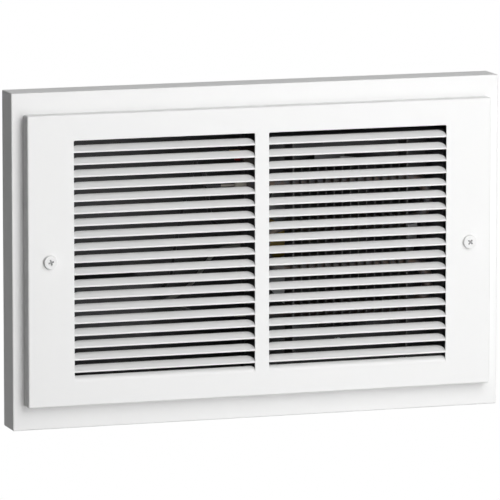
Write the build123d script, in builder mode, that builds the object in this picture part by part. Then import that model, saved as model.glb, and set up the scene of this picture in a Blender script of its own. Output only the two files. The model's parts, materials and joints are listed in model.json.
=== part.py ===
from build123d import *
import math
import os

# A recessed, fan-forced electric wall heater, seen here from the room with its louvred
# panel in front. The wall's face is the plane y = 0 and the origin is at the middle of
# the opening in the wall. X runs to the right as seen from the room, Y runs into the
# wall and Z runs up. All lengths are in millimetres.

os.makedirs("parts", exist_ok=True)

# Louvres
louvre_pitch = 8.467
slit_count = 20
louvre_tilt = 62.0
lip_length = 6.0
blade_corner = 5.0
lance_gap = 0.15
end_tie = 1.0
tie_sink = 0.4
blade_setback = 0.1
column_width = 130.3
stile_width = 10.2
slit_corner = 1.0

# Louvred panel
side_margin = 33.1
top_margin = 18.1
bottom_margin = 17.4
panel_depth = 9.5
panel_sheet = 0.9
panel_bend = 1.3
panel_lift = 1.0
screw_inset = 15.9

# Trim frame
side_flange = 8.5
end_flange = 15.8
trim_depth = 25.4
trim_sheet = 1.0
trim_bend = 0.9
trim_back_bend = 3.0
trim_lip = 8.0
mouth_overlap = 4.0

# Wall can
can_sheet = 1.0
can_bend = 1.6
can_drop = 10.2
ear_reach = 8.6
ear_edge = 10.4
ear_height = 44.0
rim_gap = 1.5
back_clearance = 6.0
boss_radius = 9.0
boss_height = 4.0
ground_washer_reach = 1.6
ground_washer_sheet = 0.7
stud_hole_radius = 2.6
stud_hole_span = 140.0
stud_hole_gap = 6.0

# Screws: shank, head and head height. The shares below are of a screw's own head and shank.
grille_screw_radius = 2.1
grille_head_radius = 4.9
grille_head_height = 2.5
grille_screw_reach = 8.0
small_screw_radius = 1.75
small_head_radius = 3.4
small_head_height = 2.2
drive_width = 0.62
drive_slot = 0.17
drive_depth = 0.72
drive_taper = 12.0
head_round = 0.62
tip_taper = 0.45

# Clearances of screws in holes, in threads and in the trim frame, where there is play
shank_hole_gap = 0.3
thread_gap = 0.05
trim_hole_gap = 0.9
ear_hole_gap = 0.6

# Spring nuts
nut_sheet = 0.5
nut_width = 12.0
nut_reach = 16.5
nut_collar_wall = 1.5
nut_collar_length = 1.5

# Chassis and element duct
seal_gap = 1.0
housing_inset = 1.1
housing_depth = 36.0
housing_sheet = 0.8
housing_edge = 6.0
housing_drop = 10.0
foot_width = 8.8
foot_inset = 8.0
foot_bend_gap = 0.6
chassis_sheet = 1.0
chassis_gap = 0.3
bracket_sheet = 1.2
bracket_leg = 12.0
bracket_foot = 14.0
bracket_inset = 12.0
chassis_screw_inset = 18.0
chassis_screw_length = 9.0
stiffener_depth = 9.0

# Fan and its orifice
orifice_margin = 4.2
bell_radius = 4.0
bell_lip = 7.0
bell_rim = 0.5
tip_gap = 3.0
blade_count = 5
blade_sheet = 1.2
blade_root_width = 15.0
blade_tip_width = 40.0
blade_root_angle = 34.0
blade_tip_angle = 21.0
blade_camber = 3.0
blade_root_overlap = 5.0
blade_tip_overlap = 2.0
spider_radius = 18.0
hub_nose_radius = 5.5
hub_flange_radius = 12.0
hub_flange_sheet = 1.8
hub_flange_gap = 1.0
hub_barrel_radius = 8.0
hub_nose_length = 6.2
hub_barrel_length = 4.6
fan_setback = 1.6
set_screw_radius = 1.5
set_screw_key = 0.8

# Motor
strap_sheet = 1.5
strap_width = 22.0
strap_standoff = 16.5
strap_foot = 9.0
strap_gap = 0.8
strap_foot_gap = 0.35
stack_depth = 18.0
bracket_depth = 8.0
bar_sheet = 2.5
bar_width = 14.0
bar_foot = 7.0
bar_inset = 1.0
core_height = 50.0
pole_length = 20.0
window_width = 14.0
window_height = 31.0
leg_width = 12.0
bore_wall = 3.9
core_corner = 3.0
rotor_radius = 11.7
air_gap = 0.4
end_ring_radius = 10.4
end_ring_depth = 3.0
shaft_radius = 2.5
shaft_nose = 1.0
shaft_inset = 0.5
shaft_chamfer = 0.4
running_gap = 0.03
seat_gap = 0.02
bearing_radius = 4.5
bearing_length = 7.5
bearing_proud = 0.5
boss_wall = 2.0
boss_rise = 3.0
motor_screw_radius = 1.9
motor_screw_offset = 20.0
motor_nut_flats = 7.0
motor_nut_height = 2.4
motor_screw_end = 0.6
bobbin_sheet = 1.0
bobbin_flange = 1.5
bobbin_clearance = 0.25
winding_depth = 7.2
winding_inset = 0.8
winding_corner = 4.3
shading_angle = 30.0
ring_wire = 1.0
ring_offset = 1.3
ring_gap = 0.3
ring_bend = 1.2

# Heating element
tube_radius = 4.0
pass_count = 4
pass_pitch = 30.0
tube_clearance = 0.05
bend_clearance = 1.2
element_setback = 8.0
fin_depth = 18.0
fin_sheet = 0.5
fin_pitch = 6.0
fin_border = 11.0
support_sheet = 1.0
support_tab = 8.0
support_inset = 3.0
cold_end = 8.0
insulator_radius = 3.2
insulator_length = 8.0
insulator_round = 1.0
pin_radius = 1.6
pin_length = 10.0

# Thermal cut-out
cutout_lift = 64.0
cutout_radius = 8.5
cutout_length = 11.2
cap_radius = 8.7
cap_length = 5.5
cap_gap = 0.3
cutout_ear = 14.0
cutout_ear_width = 9.0
flange_sheet = 0.8
flange_rim = 3.0
flange_step = 2.5
cutout_round = 0.8
cutout_screw_length = 4.0
blade_tab_width = 4.8
blade_tab_sheet = 0.8
blade_tab_length = 8.0
tab_spacing = 5.2
tab_gap = 1.2
tab_chamfer = 0.5
button_radius = 2.2
button_clearance = 0.08
button_proud = 3.5
button_depth = 1.5
button_travel = 2.0
button_round = 0.6
button_stop_gap = 0.5

# Wiring compartment
box_width = 81.0
box_height = 64.0
box_depth = 48.0
cover_sheet = 0.8
cover_fit = 0.3
cover_tab_reach = 7.5
cover_tab_width = 15.0
cover_screw_rise = 15.0
knockout_radius = 11.1
knockout_edge = 4.0
knockout_gap = 0.15
bushing_bore = 8.0
bushing_flange = 2.4
bushing_sheet = 1.5
bushing_length = 6.0
bushing_fit = 0.1
bushing_round = 0.9
lead_bushing_bore = 5.4
lead_bushing_wall = 1.2
lead_bushing_lip = 1.2
lead_bushing_length = 2.4
lead_rise = 9.5
block_length = 31.0
block_body = 19.0
block_width = 16.0
block_depth = 13.0
block_tab_width = 12.0
block_tab_depth = 4.0
block_corner = 0.8
block_well_gap = 0.5
block_well_depth = 4.3
block_side_gap = 26.0
block_top_gap = 4.0
station_rise = 2.6
block_screw_radius = 1.6
rivet_radius = 1.5
rivet_head_radius = 2.6
rivet_head_height = 0.8
rivet_round = 0.6
rivet_upset = 0.5

# Leads
lead_radius = 1.4
lead_gap = 4.2
lead_loop = 18.0
bend_share = 0.45


def depth_plane(y):
    """The plane across the heater at depth y, drawn as seen from the room."""
    return Plane.XZ.offset(-y)


def side_plane(x):
    """The plane at x that divides left from right: its first axis is Y, its second Z."""
    return Plane.YZ.offset(x)


def facing_room(x, y, z):
    """Where something seats at depth y with its head towards the room."""
    return Location(Plane(origin=(x, y, z), x_dir=(1, 0, 0), z_dir=(0, -1, 0)))


def facing_back(x, y, z):
    """Where something seats at depth y with its head towards the back of the can."""
    return Location(Plane(origin=(x, y, z), x_dir=(1, 0, 0), z_dir=(0, 1, 0)))


def facing_left(x, y, z):
    """Where something seats on a side wall with its head towards the left."""
    return Location(Plane(origin=(x, y, z), x_dir=(0, 1, 0), z_dir=(-1, 0, 0)))


# Places that follow from the sizes
tilt = math.radians(louvre_tilt)
field_width = 2 * column_width + stile_width
column_x = (column_width + stile_width) / 2
panel_width = field_width + 2 * side_margin
slit_span = (slit_count - 1) * louvre_pitch
panel_height = top_margin + slit_span + lip_length + bottom_margin
trim_width = panel_width + 2 * side_flange
trim_height = panel_height + 2 * end_flange
panel_face = -(trim_depth + panel_depth)
first_slit = panel_lift + panel_height / 2 - top_margin
last_slit = first_slit - slit_span
lip_hinge = last_slit - lip_length
window_z = (first_slit + lip_hinge) / 2
screw_x = panel_width / 2 - screw_inset

can_width = 2 * (screw_x - ear_reach)
can_height = panel_height - 2 * can_drop
can_rim = -trim_depth + trim_sheet + rim_gap
inner_x = can_width / 2 - can_sheet
inner_z = can_height / 2 - can_sheet

louvre_depth = louvre_pitch * math.sin(tilt) + panel_sheet * math.cos(tilt)
housing_front = panel_face + blade_setback + louvre_depth + seal_gap
plate_front = housing_front + housing_depth
plate_back = plate_front + chassis_sheet
housing_left = stile_width / 2 - housing_inset
housing_right = inner_x - housing_edge
housing_x = (housing_left + housing_right) / 2
housing_width = housing_right - housing_left
housing_half = inner_z - housing_drop
housing_height = 2 * housing_half

fan_x = housing_x
strap_room = strap_gap + strap_sheet + strap_foot + strap_foot_gap
orifice_radius = min(housing_width / 2 - orifice_margin, inner_z - bracket_leg - strap_room - bell_radius)
fan_radius = orifice_radius - tip_gap
strap_front = plate_back + strap_standoff
strap_back = strap_front + strap_sheet
stack_front = strap_back + bracket_depth
stack_back = stack_front + stack_depth
motor_back = stack_back + bracket_depth
inner_back = motor_back + boss_rise + back_clearance
can_back = inner_back + can_sheet
boss_seat = inner_back - boss_height


def pan_screw(radius, head_radius, head_height, length):
    """A cross-recess pan-head screw. It seats at the origin and its shank runs along -Z."""
    with BuildPart() as screw:
        Cylinder(head_radius, head_height, align=(Align.CENTER, Align.CENTER, Align.MIN))
        fillet(screw.edges().sort_by(Axis.Z)[-1], head_height * head_round)
        Cylinder(radius, length, align=(Align.CENTER, Align.CENTER, Align.MAX))
        chamfer(screw.edges().sort_by(Axis.Z)[0], radius * tip_taper)
        with BuildSketch(Plane.XY.offset(head_height)):
            Rectangle(2 * head_radius * drive_width, 2 * head_radius * drive_slot)
            Rectangle(2 * head_radius * drive_slot, 2 * head_radius * drive_width)
        extrude(amount=-head_height * drive_depth, taper=drive_taper, mode=Mode.SUBTRACT)
    return screw.part


def bend_radius(before, corner, after):
    """The radius of the arc that takes up a set share of the shorter of two runs."""
    arriving = Vector(corner) - Vector(before)
    leaving = Vector(after) - Vector(corner)
    turn = math.radians(arriving.get_angle(leaving))
    return bend_share * min(arriving.length, leaving.length) / math.tan(turn / 2)


def lead(name, points):
    """A round insulated lead along straight runs joined by tangent arcs."""
    radii = [bend_radius(*corner) for corner in zip(points, points[1:], points[2:])]
    with BuildPart() as wire:
        with BuildLine() as route:
            FilletPolyline(*points, radius=radii)
        path = route.wire()
        with BuildSketch(Plane(origin=path @ 0, z_dir=path % 0)):
            Circle(lead_radius)
        sweep(path=path)
    plain_volume = math.pi * lead_radius**2 * path.length
    radii_text = ", ".join(f"{radius:.1f}" for radius in radii)
    print(f"{name}: {path.length:.0f} long, bend radii {radii_text},",
          f"volume {wire.part.volume:.1f} against {plain_volume:.1f}")
    return wire


# Trim frame: a deep frame with a flange in front, which rolls over into a lip on the wall
with BuildPart() as trim_hollow:
    with BuildSketch(depth_plane(-trim_depth + trim_sheet)):
        Rectangle(trim_width - 2 * trim_sheet, trim_height - 2 * trim_sheet)
    extrude(amount=-(trim_depth - 2 * trim_sheet))
    fillet(trim_hollow.faces().sort_by(Axis.Y)[-1].edges(), trim_back_bend - trim_sheet)

with BuildPart() as trim_frame:
    with BuildSketch(depth_plane(-trim_depth)):
        Rectangle(trim_width, trim_height)
    extrude(amount=-trim_depth)
    front_edges = trim_frame.faces().sort_by(Axis.Y)[0].edges()
    fillet(front_edges + trim_frame.edges().filter_by(Axis.Y), trim_bend)
    fillet(trim_frame.faces().sort_by(Axis.Y)[-1].edges(), trim_back_bend)
    add(trim_hollow.part, mode=Mode.SUBTRACT)
    with BuildSketch(depth_plane(-trim_depth)):
        Rectangle(can_width - 2 * mouth_overlap, can_height - 2 * mouth_overlap)
    extrude(amount=-trim_sheet, mode=Mode.SUBTRACT)
    with BuildSketch(depth_plane(-trim_sheet)):
        Rectangle(trim_width - 2 * trim_lip, trim_height - 2 * trim_lip)
    extrude(amount=-trim_sheet, mode=Mode.SUBTRACT)
    with BuildSketch(depth_plane(-trim_depth)):
        with Locations((-screw_x, panel_lift), (screw_x, panel_lift)):
            Circle(grille_screw_radius + trim_hole_gap)
    extrude(amount=-trim_sheet, mode=Mode.SUBTRACT)
trim_frame.part.label = "trim_frame"
export_step(trim_frame.part, "parts/trim_frame.step")


# Louvred panel: a shallow pan. Its blades hinge on their lower, outer edges, lean back
# into the heater and are tied to the panel only at the ends of those edges.
def blade_plane(z):
    """The face of a blade whose outer edge is at height z. Its second axis leans back."""
    return Plane(origin=(0, panel_face + blade_setback, z), x_dir=(1, 0, 0),
                 z_dir=(0, -math.cos(tilt), math.sin(tilt)))


def blade_outline(length):
    """A blade drawn flat about the middle of its outer edge, with its inner corners rounded."""
    with BuildSketch() as outline:
        Rectangle(column_width - 2 * lance_gap, length, align=(Align.CENTER, Align.MIN))
        fillet(outline.vertices().group_by(Axis.Y)[-1], min(blade_corner, length - end_tie))
        Rectangle(column_width + 2 * tie_sink, end_tie, align=(Align.CENTER, Align.MIN))
    return outline.sketch


blade_face = blade_outline(louvre_pitch)
lip_face = blade_outline(lip_length)
with BuildPart() as grille_panel:
    with BuildSketch(depth_plane(panel_face)):
        with Locations((0, panel_lift)):
            Rectangle(panel_width, panel_height)
    extrude(amount=-panel_depth)
    front_edges = grille_panel.faces().sort_by(Axis.Y)[0].edges()
    fillet(front_edges + grille_panel.edges().filter_by(Axis.Y), panel_bend)
    with BuildSketch(depth_plane(panel_face + panel_sheet)):
        with Locations((0, panel_lift)):
            Rectangle(panel_width - 2 * panel_sheet, panel_height - 2 * panel_sheet)
    extrude(amount=-panel_depth, mode=Mode.SUBTRACT)
    with BuildSketch(depth_plane(panel_face)):
        with Locations((-column_x, window_z), (column_x, window_z)):
            RectangleRounded(column_width, first_slit - lip_hinge, slit_corner)
        with Locations((-screw_x, panel_lift), (screw_x, panel_lift)):
            Circle(grille_screw_radius + shank_hole_gap)
    extrude(amount=-panel_sheet, mode=Mode.SUBTRACT)
    with BuildSketch(*[blade_plane(first_slit - row * louvre_pitch) for row in range(1, slit_count)]):
        with Locations((-column_x, 0), (column_x, 0)):
            add(blade_face)
    extrude(amount=-panel_sheet)
    with BuildSketch(blade_plane(lip_hinge)):
        with Locations((-column_x, 0), (column_x, 0)):
            add(lip_face)
    extrude(amount=-panel_sheet)
grille_panel.part.label = "grille_panel"
export_step(grille_panel.part, "parts/grille_panel.step")


# Screws that hold the panel, and the spring nuts clipped on the can's ears
grille_screw = pan_screw(grille_screw_radius, grille_head_radius, grille_head_height,
                         can_rim - panel_face + grille_screw_reach)
with BuildPart() as grille_screws:
    with Locations(*[facing_room(x, panel_face, panel_lift) for x in (-screw_x, screw_x)]):
        add(grille_screw)
grille_screws.part.label = "grille_screws"
export_step(grille_screws.part, "parts/grille_screws.step")

ear_end = screw_x + ear_edge
with BuildPart() as grille_nuts:
    with BuildSketch(Plane.XY.offset(panel_lift)):
        with Locations((ear_end + nut_sheet, can_rim + can_sheet / 2)):
            Rectangle(nut_reach + nut_sheet, can_sheet + 2 * nut_sheet, align=(Align.MAX, Align.CENTER))
        with Locations((ear_end, can_rim + can_sheet / 2)):
            Rectangle(nut_reach + nut_sheet, can_sheet, align=(Align.MAX, Align.CENTER), mode=Mode.SUBTRACT)
    extrude(amount=nut_width / 2, both=True)
    with BuildSketch(depth_plane(can_rim + can_sheet + nut_sheet)):
        with Locations((screw_x, panel_lift)):
            Circle(grille_screw_radius + nut_collar_wall)
    extrude(amount=-nut_collar_length)
    with BuildSketch(depth_plane(can_rim)):
        with Locations((screw_x, panel_lift)):
            Circle(grille_screw_radius + thread_gap)
    extrude(amount=nut_width, both=True, mode=Mode.SUBTRACT)
    mirror(about=Plane.YZ)
grille_nuts.part.label = "grille_nuts"
export_step(grille_nuts.part, "parts/grille_nuts.step")


# Wall can, open to the room: a wrapper that is its two sides and its back, with an ear on
# each side for the grille screws, and a cap welded on its top and on its bottom. The wiring
# compartment is its lower left corner.
box_right = -inner_x + box_width
box_top = -inner_z + box_height
box_front = inner_back - box_depth
knock_left = -inner_x + knockout_edge + knockout_radius
knock_right = box_right - 2 * knockout_edge - knockout_radius
knock_x = (knock_left + knock_right) / 2
knock_z = -inner_z + 2 * knockout_edge + knockout_radius
knock_y = (box_front + inner_back) / 2
cover_screw_x = box_right + boss_radius + cover_fit
cover_screw_z = -inner_z + cover_screw_rise
stud_y = plate_back + stud_hole_gap
ear_width = ear_reach + ear_edge
ear_x = (can_width + ear_width) / 2
block_x = box_right - block_side_gap - block_width / 2
block_z = box_top - block_top_gap - block_length / 2
rivet_z = (block_length + block_body) / 4
rivet_spots = [(block_x, block_z - rivet_z), (block_x, block_z + rivet_z)]

with BuildPart() as can_wrapper:
    with BuildSketch():
        with Locations((0, can_rim)):
            Rectangle(can_width, can_back - can_rim, align=(Align.CENTER, Align.MIN))
    extrude(amount=inner_z, both=True)
    fillet(can_wrapper.edges().filter_by(Axis.Z).group_by(Axis.Y)[-1], can_bend)
    with BuildSketch():
        with Locations((0, can_rim)):
            Rectangle(2 * inner_x, inner_back - can_rim, align=(Align.CENTER, Align.MIN))
    extrude(amount=inner_z, both=True, mode=Mode.SUBTRACT)
    with BuildSketch(depth_plane(can_rim)):
        with Locations((-ear_x, panel_lift), (ear_x, panel_lift)):
            Rectangle(ear_width, ear_height)
    extrude(amount=-can_sheet)
    with BuildSketch(depth_plane(can_rim)):
        with Locations((-screw_x, panel_lift), (screw_x, panel_lift)):
            Circle(grille_screw_radius + ear_hole_gap)
    extrude(amount=-can_sheet, mode=Mode.SUBTRACT)
    with BuildSketch(depth_plane(boss_seat)):
        with Locations((knock_x, knock_z), (cover_screw_x, cover_screw_z)):
            Circle(boss_radius)
    extrude(amount=-boss_height)
    with BuildSketch(depth_plane(boss_seat + can_sheet)):
        with Locations((knock_x, knock_z), (cover_screw_x, cover_screw_z)):
            Circle(boss_radius - can_sheet)
    extrude(amount=-(can_back - boss_seat), mode=Mode.SUBTRACT)
    with BuildSketch(depth_plane(boss_seat)):
        with Locations((knock_x, knock_z), (cover_screw_x, cover_screw_z)):
            Circle(small_screw_radius + thread_gap)
    extrude(amount=-can_sheet, mode=Mode.SUBTRACT)
    with BuildSketch(depth_plane(inner_back)):
        with Locations((knock_left, knock_z), (knock_right, knock_z)):
            Circle(knockout_radius)
        with Locations(*rivet_spots):
            Circle(rivet_radius + thread_gap)
    extrude(amount=-can_sheet, mode=Mode.SUBTRACT)
    with BuildSketch(side_plane(-can_width / 2)):
        with Locations((knock_y, knock_z)):
            Circle(knockout_radius)
        with Locations((stud_y, -stud_hole_span / 2), (stud_y, stud_hole_span / 2)):
            Circle(stud_hole_radius)
    extrude(amount=can_sheet, mode=Mode.SUBTRACT)
    with BuildSketch(side_plane(inner_x)):
        with Locations((stud_y, -stud_hole_span / 2), (stud_y, stud_hole_span / 2)):
            Circle(stud_hole_radius)
    extrude(amount=can_sheet, mode=Mode.SUBTRACT)
can_wrapper.part.label = "can_wrapper"
export_step(can_wrapper.part, "parts/can_wrapper.step")

with BuildPart() as can_top:
    with BuildSketch(Plane.XY.offset(inner_z)):
        with Locations((0, can_rim)):
            Rectangle(can_width, can_back - can_rim, align=(Align.CENTER, Align.MIN))
    extrude(amount=can_sheet)
    fillet(can_top.edges().filter_by(Axis.Z).group_by(Axis.Y)[-1], can_bend)
can_top.part.label = "can_top"
export_step(can_top.part, "parts/can_top.step")

with BuildPart() as can_bottom:
    add(can_top.part)
    mirror(about=Plane.XY, mode=Mode.REPLACE)
    with BuildSketch(Plane.XY.offset(-can_height / 2)):
        with Locations((knock_x, knock_y)):
            Circle(knockout_radius)
    extrude(amount=can_sheet, mode=Mode.SUBTRACT)
can_bottom.part.label = "can_bottom"
export_step(can_bottom.part, "parts/can_bottom.step")

with BuildPart() as knockout_plugs:
    with BuildSketch(depth_plane(inner_back)):
        with Locations((knock_left, knock_z), (knock_right, knock_z)):
            Circle(knockout_radius - knockout_gap)
    extrude(amount=-can_sheet)
    with BuildSketch(side_plane(-can_width / 2)):
        with Locations((knock_y, knock_z)):
            Circle(knockout_radius - knockout_gap)
    extrude(amount=can_sheet)
knockout_plugs.part.label = "knockout_plugs"
export_step(knockout_plugs.part, "parts/knockout_plugs.step")

# Snap bushing in the open knockout in the can's bottom wall
with BuildPart() as cable_bushing:
    with BuildSketch(Plane.XY.offset(-can_height / 2)):
        with Locations((knock_x, knock_y)):
            Circle(knockout_radius + bushing_flange)
    extrude(amount=-bushing_sheet)
    with BuildSketch(Plane.XY.offset(-can_height / 2)):
        with Locations((knock_x, knock_y)):
            Circle(knockout_radius - bushing_fit)
    extrude(amount=bushing_length)
    fillet(cable_bushing.edges().filter_by(GeomType.CIRCLE).sort_by(Axis.Z)[0], bushing_round)
    with BuildSketch(Plane.XY.offset(-can_height / 2 - bushing_sheet)):
        with Locations((knock_x, knock_y)):
            Circle(bushing_bore)
    extrude(amount=bushing_sheet + bushing_length, mode=Mode.SUBTRACT)
cable_bushing.part.label = "cable_bushing"
export_step(cable_bushing.part, "parts/cable_bushing.step")

boss_screw = pan_screw(small_screw_radius, small_head_radius, small_head_height, boss_height)
with BuildPart() as ground_screw:
    with Locations(facing_room(knock_x, boss_seat, knock_z)):
        add(boss_screw)
        Cylinder(small_head_radius + ground_washer_reach, ground_washer_sheet,
                 align=(Align.CENTER, Align.CENTER, Align.MIN))
ground_screw.part.label = "ground_screw"
export_step(ground_screw.part, "parts/ground_screw.step")


# Angles welded to the can's top and bottom walls, which carry the chassis
bracket_left = housing_left + bracket_inset
bracket_length = housing_width - 2 * bracket_inset
chassis_screw_z = housing_half + foot_width / 2 + foot_bend_gap
chassis_screw_spots = [
    (housing_x + x_side * (housing_width / 2 - chassis_screw_inset), z_side * chassis_screw_z)
    for x_side in (-1, 1)
    for z_side in (-1, 1)
]

with BuildPart() as upper_bracket:
    with BuildSketch(side_plane(bracket_left)):
        with Locations((plate_back, inner_z)):
            Rectangle(bracket_sheet, bracket_leg, align=(Align.MIN, Align.MAX))
            Rectangle(bracket_foot, bracket_sheet, align=(Align.MIN, Align.MAX))
    extrude(amount=bracket_length)
    with BuildSketch(depth_plane(plate_back)):
        with Locations(*chassis_screw_spots):
            Circle(small_screw_radius + thread_gap)
    extrude(amount=-bracket_sheet, mode=Mode.SUBTRACT)
upper_bracket.part.label = "upper_bracket"
export_step(upper_bracket.part, "parts/upper_bracket.step")

with BuildPart() as lower_bracket:
    add(upper_bracket.part)
    mirror(about=Plane.XY, mode=Mode.REPLACE)
lower_bracket.part.label = "lower_bracket"
export_step(lower_bracket.part, "parts/lower_bracket.step")


# Chassis plate with a bell-mouthed orifice for the fan
plate_left = housing_left - 2 * chassis_sheet
plate_right = inner_x - chassis_gap
plate_half = inner_z - chassis_gap
bell_outer = orifice_radius + bell_radius
fan_axis = Axis((fan_x, 0, 0), (0, 1, 0))
strap_foot_z = bell_outer + strap_gap + strap_sheet + strap_foot / 2
strap_foot_spots = [(fan_x, -strap_foot_z), (fan_x, strap_foot_z)]

with BuildPart() as chassis_plate:
    with BuildSketch(depth_plane(plate_front)):
        with Locations(((plate_left + plate_right) / 2, 0)):
            Rectangle(plate_right - plate_left, 2 * plate_half)
        with Locations((fan_x, 0)):
            Circle(bell_outer, mode=Mode.SUBTRACT)
        with Locations(*chassis_screw_spots, *strap_foot_spots):
            Circle(small_screw_radius + shank_hole_gap, mode=Mode.SUBTRACT)
    extrude(amount=-chassis_sheet)
    with BuildSketch(Plane(origin=(fan_x, 0, 0), x_dir=(1, 0, 0), z_dir=(0, 0, 1))):
        with BuildLine():
            lip_end = plate_front + bell_radius + bell_lip
            lip_outer = orifice_radius + chassis_sheet
            bell_end = plate_front + bell_radius
            Line((bell_outer + bell_rim, plate_front), (bell_outer, plate_front))
            RadiusArc((bell_outer, plate_front), (orifice_radius, bell_end), bell_radius)
            Polyline((orifice_radius, bell_end), (orifice_radius, lip_end),
                     (lip_outer, lip_end), (lip_outer, bell_end))
            RadiusArc((lip_outer, bell_end), (bell_outer, plate_back), chassis_sheet - bell_radius)
            Polyline((bell_outer, plate_back), (bell_outer + bell_rim, plate_back),
                     (bell_outer + bell_rim, plate_front))
        make_face()
    revolve(axis=fan_axis)
    with BuildSketch(depth_plane(plate_back)):
        with Locations((plate_left + chassis_sheet / 2, 0)):
            Rectangle(chassis_sheet, 2 * plate_half)
    extrude(amount=-stiffener_depth)
chassis_plate.part.label = "chassis_plate"
export_step(chassis_plate.part, "parts/chassis_plate.step")


# Element duct: four walls, a foot along its top and its bottom, and holes in its left wall
inner_left = housing_left + housing_sheet
inner_right = housing_right - housing_sheet
support_half = housing_half - housing_sheet
pass_span = (pass_count - 1) * pass_pitch
element_y = housing_front + element_setback + fin_depth / 2
cutout_y = element_y
terminal_spots = [(element_y, -pass_span / 2), (element_y, pass_span / 2)]
cutout_ear_spots = [(cutout_y + side * cutout_ear, cutout_lift) for side in (-1, 1)]

with BuildPart() as element_housing:
    with BuildSketch(depth_plane(housing_front)):
        with Locations((housing_x, 0)):
            Rectangle(housing_width, housing_height)
            Rectangle(inner_right - inner_left, 2 * support_half, mode=Mode.SUBTRACT)
    extrude(amount=-housing_depth)
    with BuildSketch(depth_plane(plate_front - housing_sheet)):
        with Locations((housing_x, housing_half), (housing_x, -housing_half)):
            Rectangle(housing_width - 2 * foot_inset, 2 * foot_width)
        with Locations((housing_x, 0)):
            Rectangle(housing_width, housing_height, mode=Mode.SUBTRACT)
        with Locations(*chassis_screw_spots):
            Circle(small_screw_radius + shank_hole_gap, mode=Mode.SUBTRACT)
    extrude(amount=-housing_sheet)
    with BuildSketch(side_plane(housing_left)):
        with Locations(*terminal_spots):
            Circle(tube_radius + cap_gap)
        with Locations((cutout_y, cutout_lift)):
            Circle(cap_radius + cap_gap)
        with Locations(*cutout_ear_spots):
            Circle(small_screw_radius + thread_gap)
    extrude(amount=housing_sheet, mode=Mode.SUBTRACT)
element_housing.part.label = "element_housing"
export_step(element_housing.part, "parts/element_housing.step")

chassis_screw = pan_screw(small_screw_radius, small_head_radius, small_head_height, chassis_screw_length)
with BuildPart() as chassis_screws:
    with Locations(*[facing_room(x, plate_front - housing_sheet, z) for x, z in chassis_screw_spots]):
        add(chassis_screw)
chassis_screws.part.label = "chassis_screws"
export_step(chassis_screws.part, "parts/chassis_screws.step")


# Heating element: a sheathed tube in four passes, its fins, its supports and its two ends
turn_radius = pass_pitch / 2
left_turn = inner_left + bend_clearance + tube_radius + turn_radius
right_turn = inner_right - bend_clearance - tube_radius - turn_radius
tube_end = housing_left - cold_end
pass_z = [-pass_span / 2 + index * pass_pitch for index in range(pass_count)]

with BuildPart() as element_tube:
    with BuildLine(depth_plane(element_y)) as tube_path:
        for index, z in enumerate(pass_z):
            start_x = tube_end if index == 0 else (left_turn if index % 2 == 0 else right_turn)
            end_x = tube_end if index == pass_count - 1 else (right_turn if index % 2 == 0 else left_turn)
            Line((start_x, z), (end_x, z))
            if index < pass_count - 1:
                outer = turn_radius if index % 2 == 0 else -turn_radius
                ThreePointArc((end_x, z), (end_x + outer, z + turn_radius), (end_x, z + pass_pitch))
    with BuildSketch(side_plane(tube_end)):
        with Locations((element_y, pass_z[0])):
            Circle(tube_radius)
    sweep(path=tube_path.wire())
element_tube.part.label = "element_tube"
export_step(element_tube.part, "parts/element_tube.step")

support_left = left_turn + support_inset
support_right = right_turn - support_inset - support_sheet
fin_span = support_right - support_left - 2 * fin_pitch
fin_count = int(fin_span / fin_pitch) + 1
fin_start = (support_left + support_right + support_sheet - (fin_count - 1) * fin_pitch - fin_sheet) / 2
fin_height = pass_span + 2 * fin_border
tube_spots = [(element_y, z) for z in pass_z]

with BuildPart() as element_fins:
    with BuildSketch(*[side_plane(fin_start + index * fin_pitch) for index in range(fin_count)]):
        with Locations((element_y, 0)):
            Rectangle(fin_depth, fin_height)
        with Locations(*tube_spots):
            Circle(tube_radius + tube_clearance, mode=Mode.SUBTRACT)
    extrude(amount=fin_sheet)
element_fins.part.label = "element_fins"
export_step(element_fins.part, "parts/element_fins.step")

with BuildPart() as element_supports:
    with BuildSketch(side_plane(support_left), side_plane(support_right)):
        with Locations((element_y, 0)):
            Rectangle(fin_depth, 2 * support_half)
        with Locations(*tube_spots):
            Circle(tube_radius + tube_clearance, mode=Mode.SUBTRACT)
    extrude(amount=support_sheet)
    with BuildSketch(depth_plane(element_y - fin_depth / 2)):
        for x, side in ((support_left, -1), (support_right + support_sheet, 1)):
            with Locations((x + side * support_tab / 2, support_half - support_sheet / 2),
                           (x + side * support_tab / 2, -support_half + support_sheet / 2)):
                Rectangle(support_tab, support_sheet)
    extrude(amount=-fin_depth)
element_supports.part.label = "element_supports"
export_step(element_supports.part, "parts/element_supports.step")

with BuildPart() as element_insulators:
    with BuildSketch(side_plane(tube_end)):
        with Locations(*terminal_spots):
            Circle(insulator_radius)
    extrude(amount=-insulator_length)
    fillet(element_insulators.edges().group_by(Axis.X)[0], insulator_round)
element_insulators.part.label = "element_insulators"
export_step(element_insulators.part, "parts/element_insulators.step")

pin_start = tube_end - insulator_length
with BuildPart() as element_pins:
    with BuildSketch(side_plane(pin_start)):
        with Locations(*terminal_spots):
            Circle(pin_radius)
    extrude(amount=-pin_length)
element_pins.part.label = "element_pins"
export_step(element_pins.part, "parts/element_pins.step")


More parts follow.
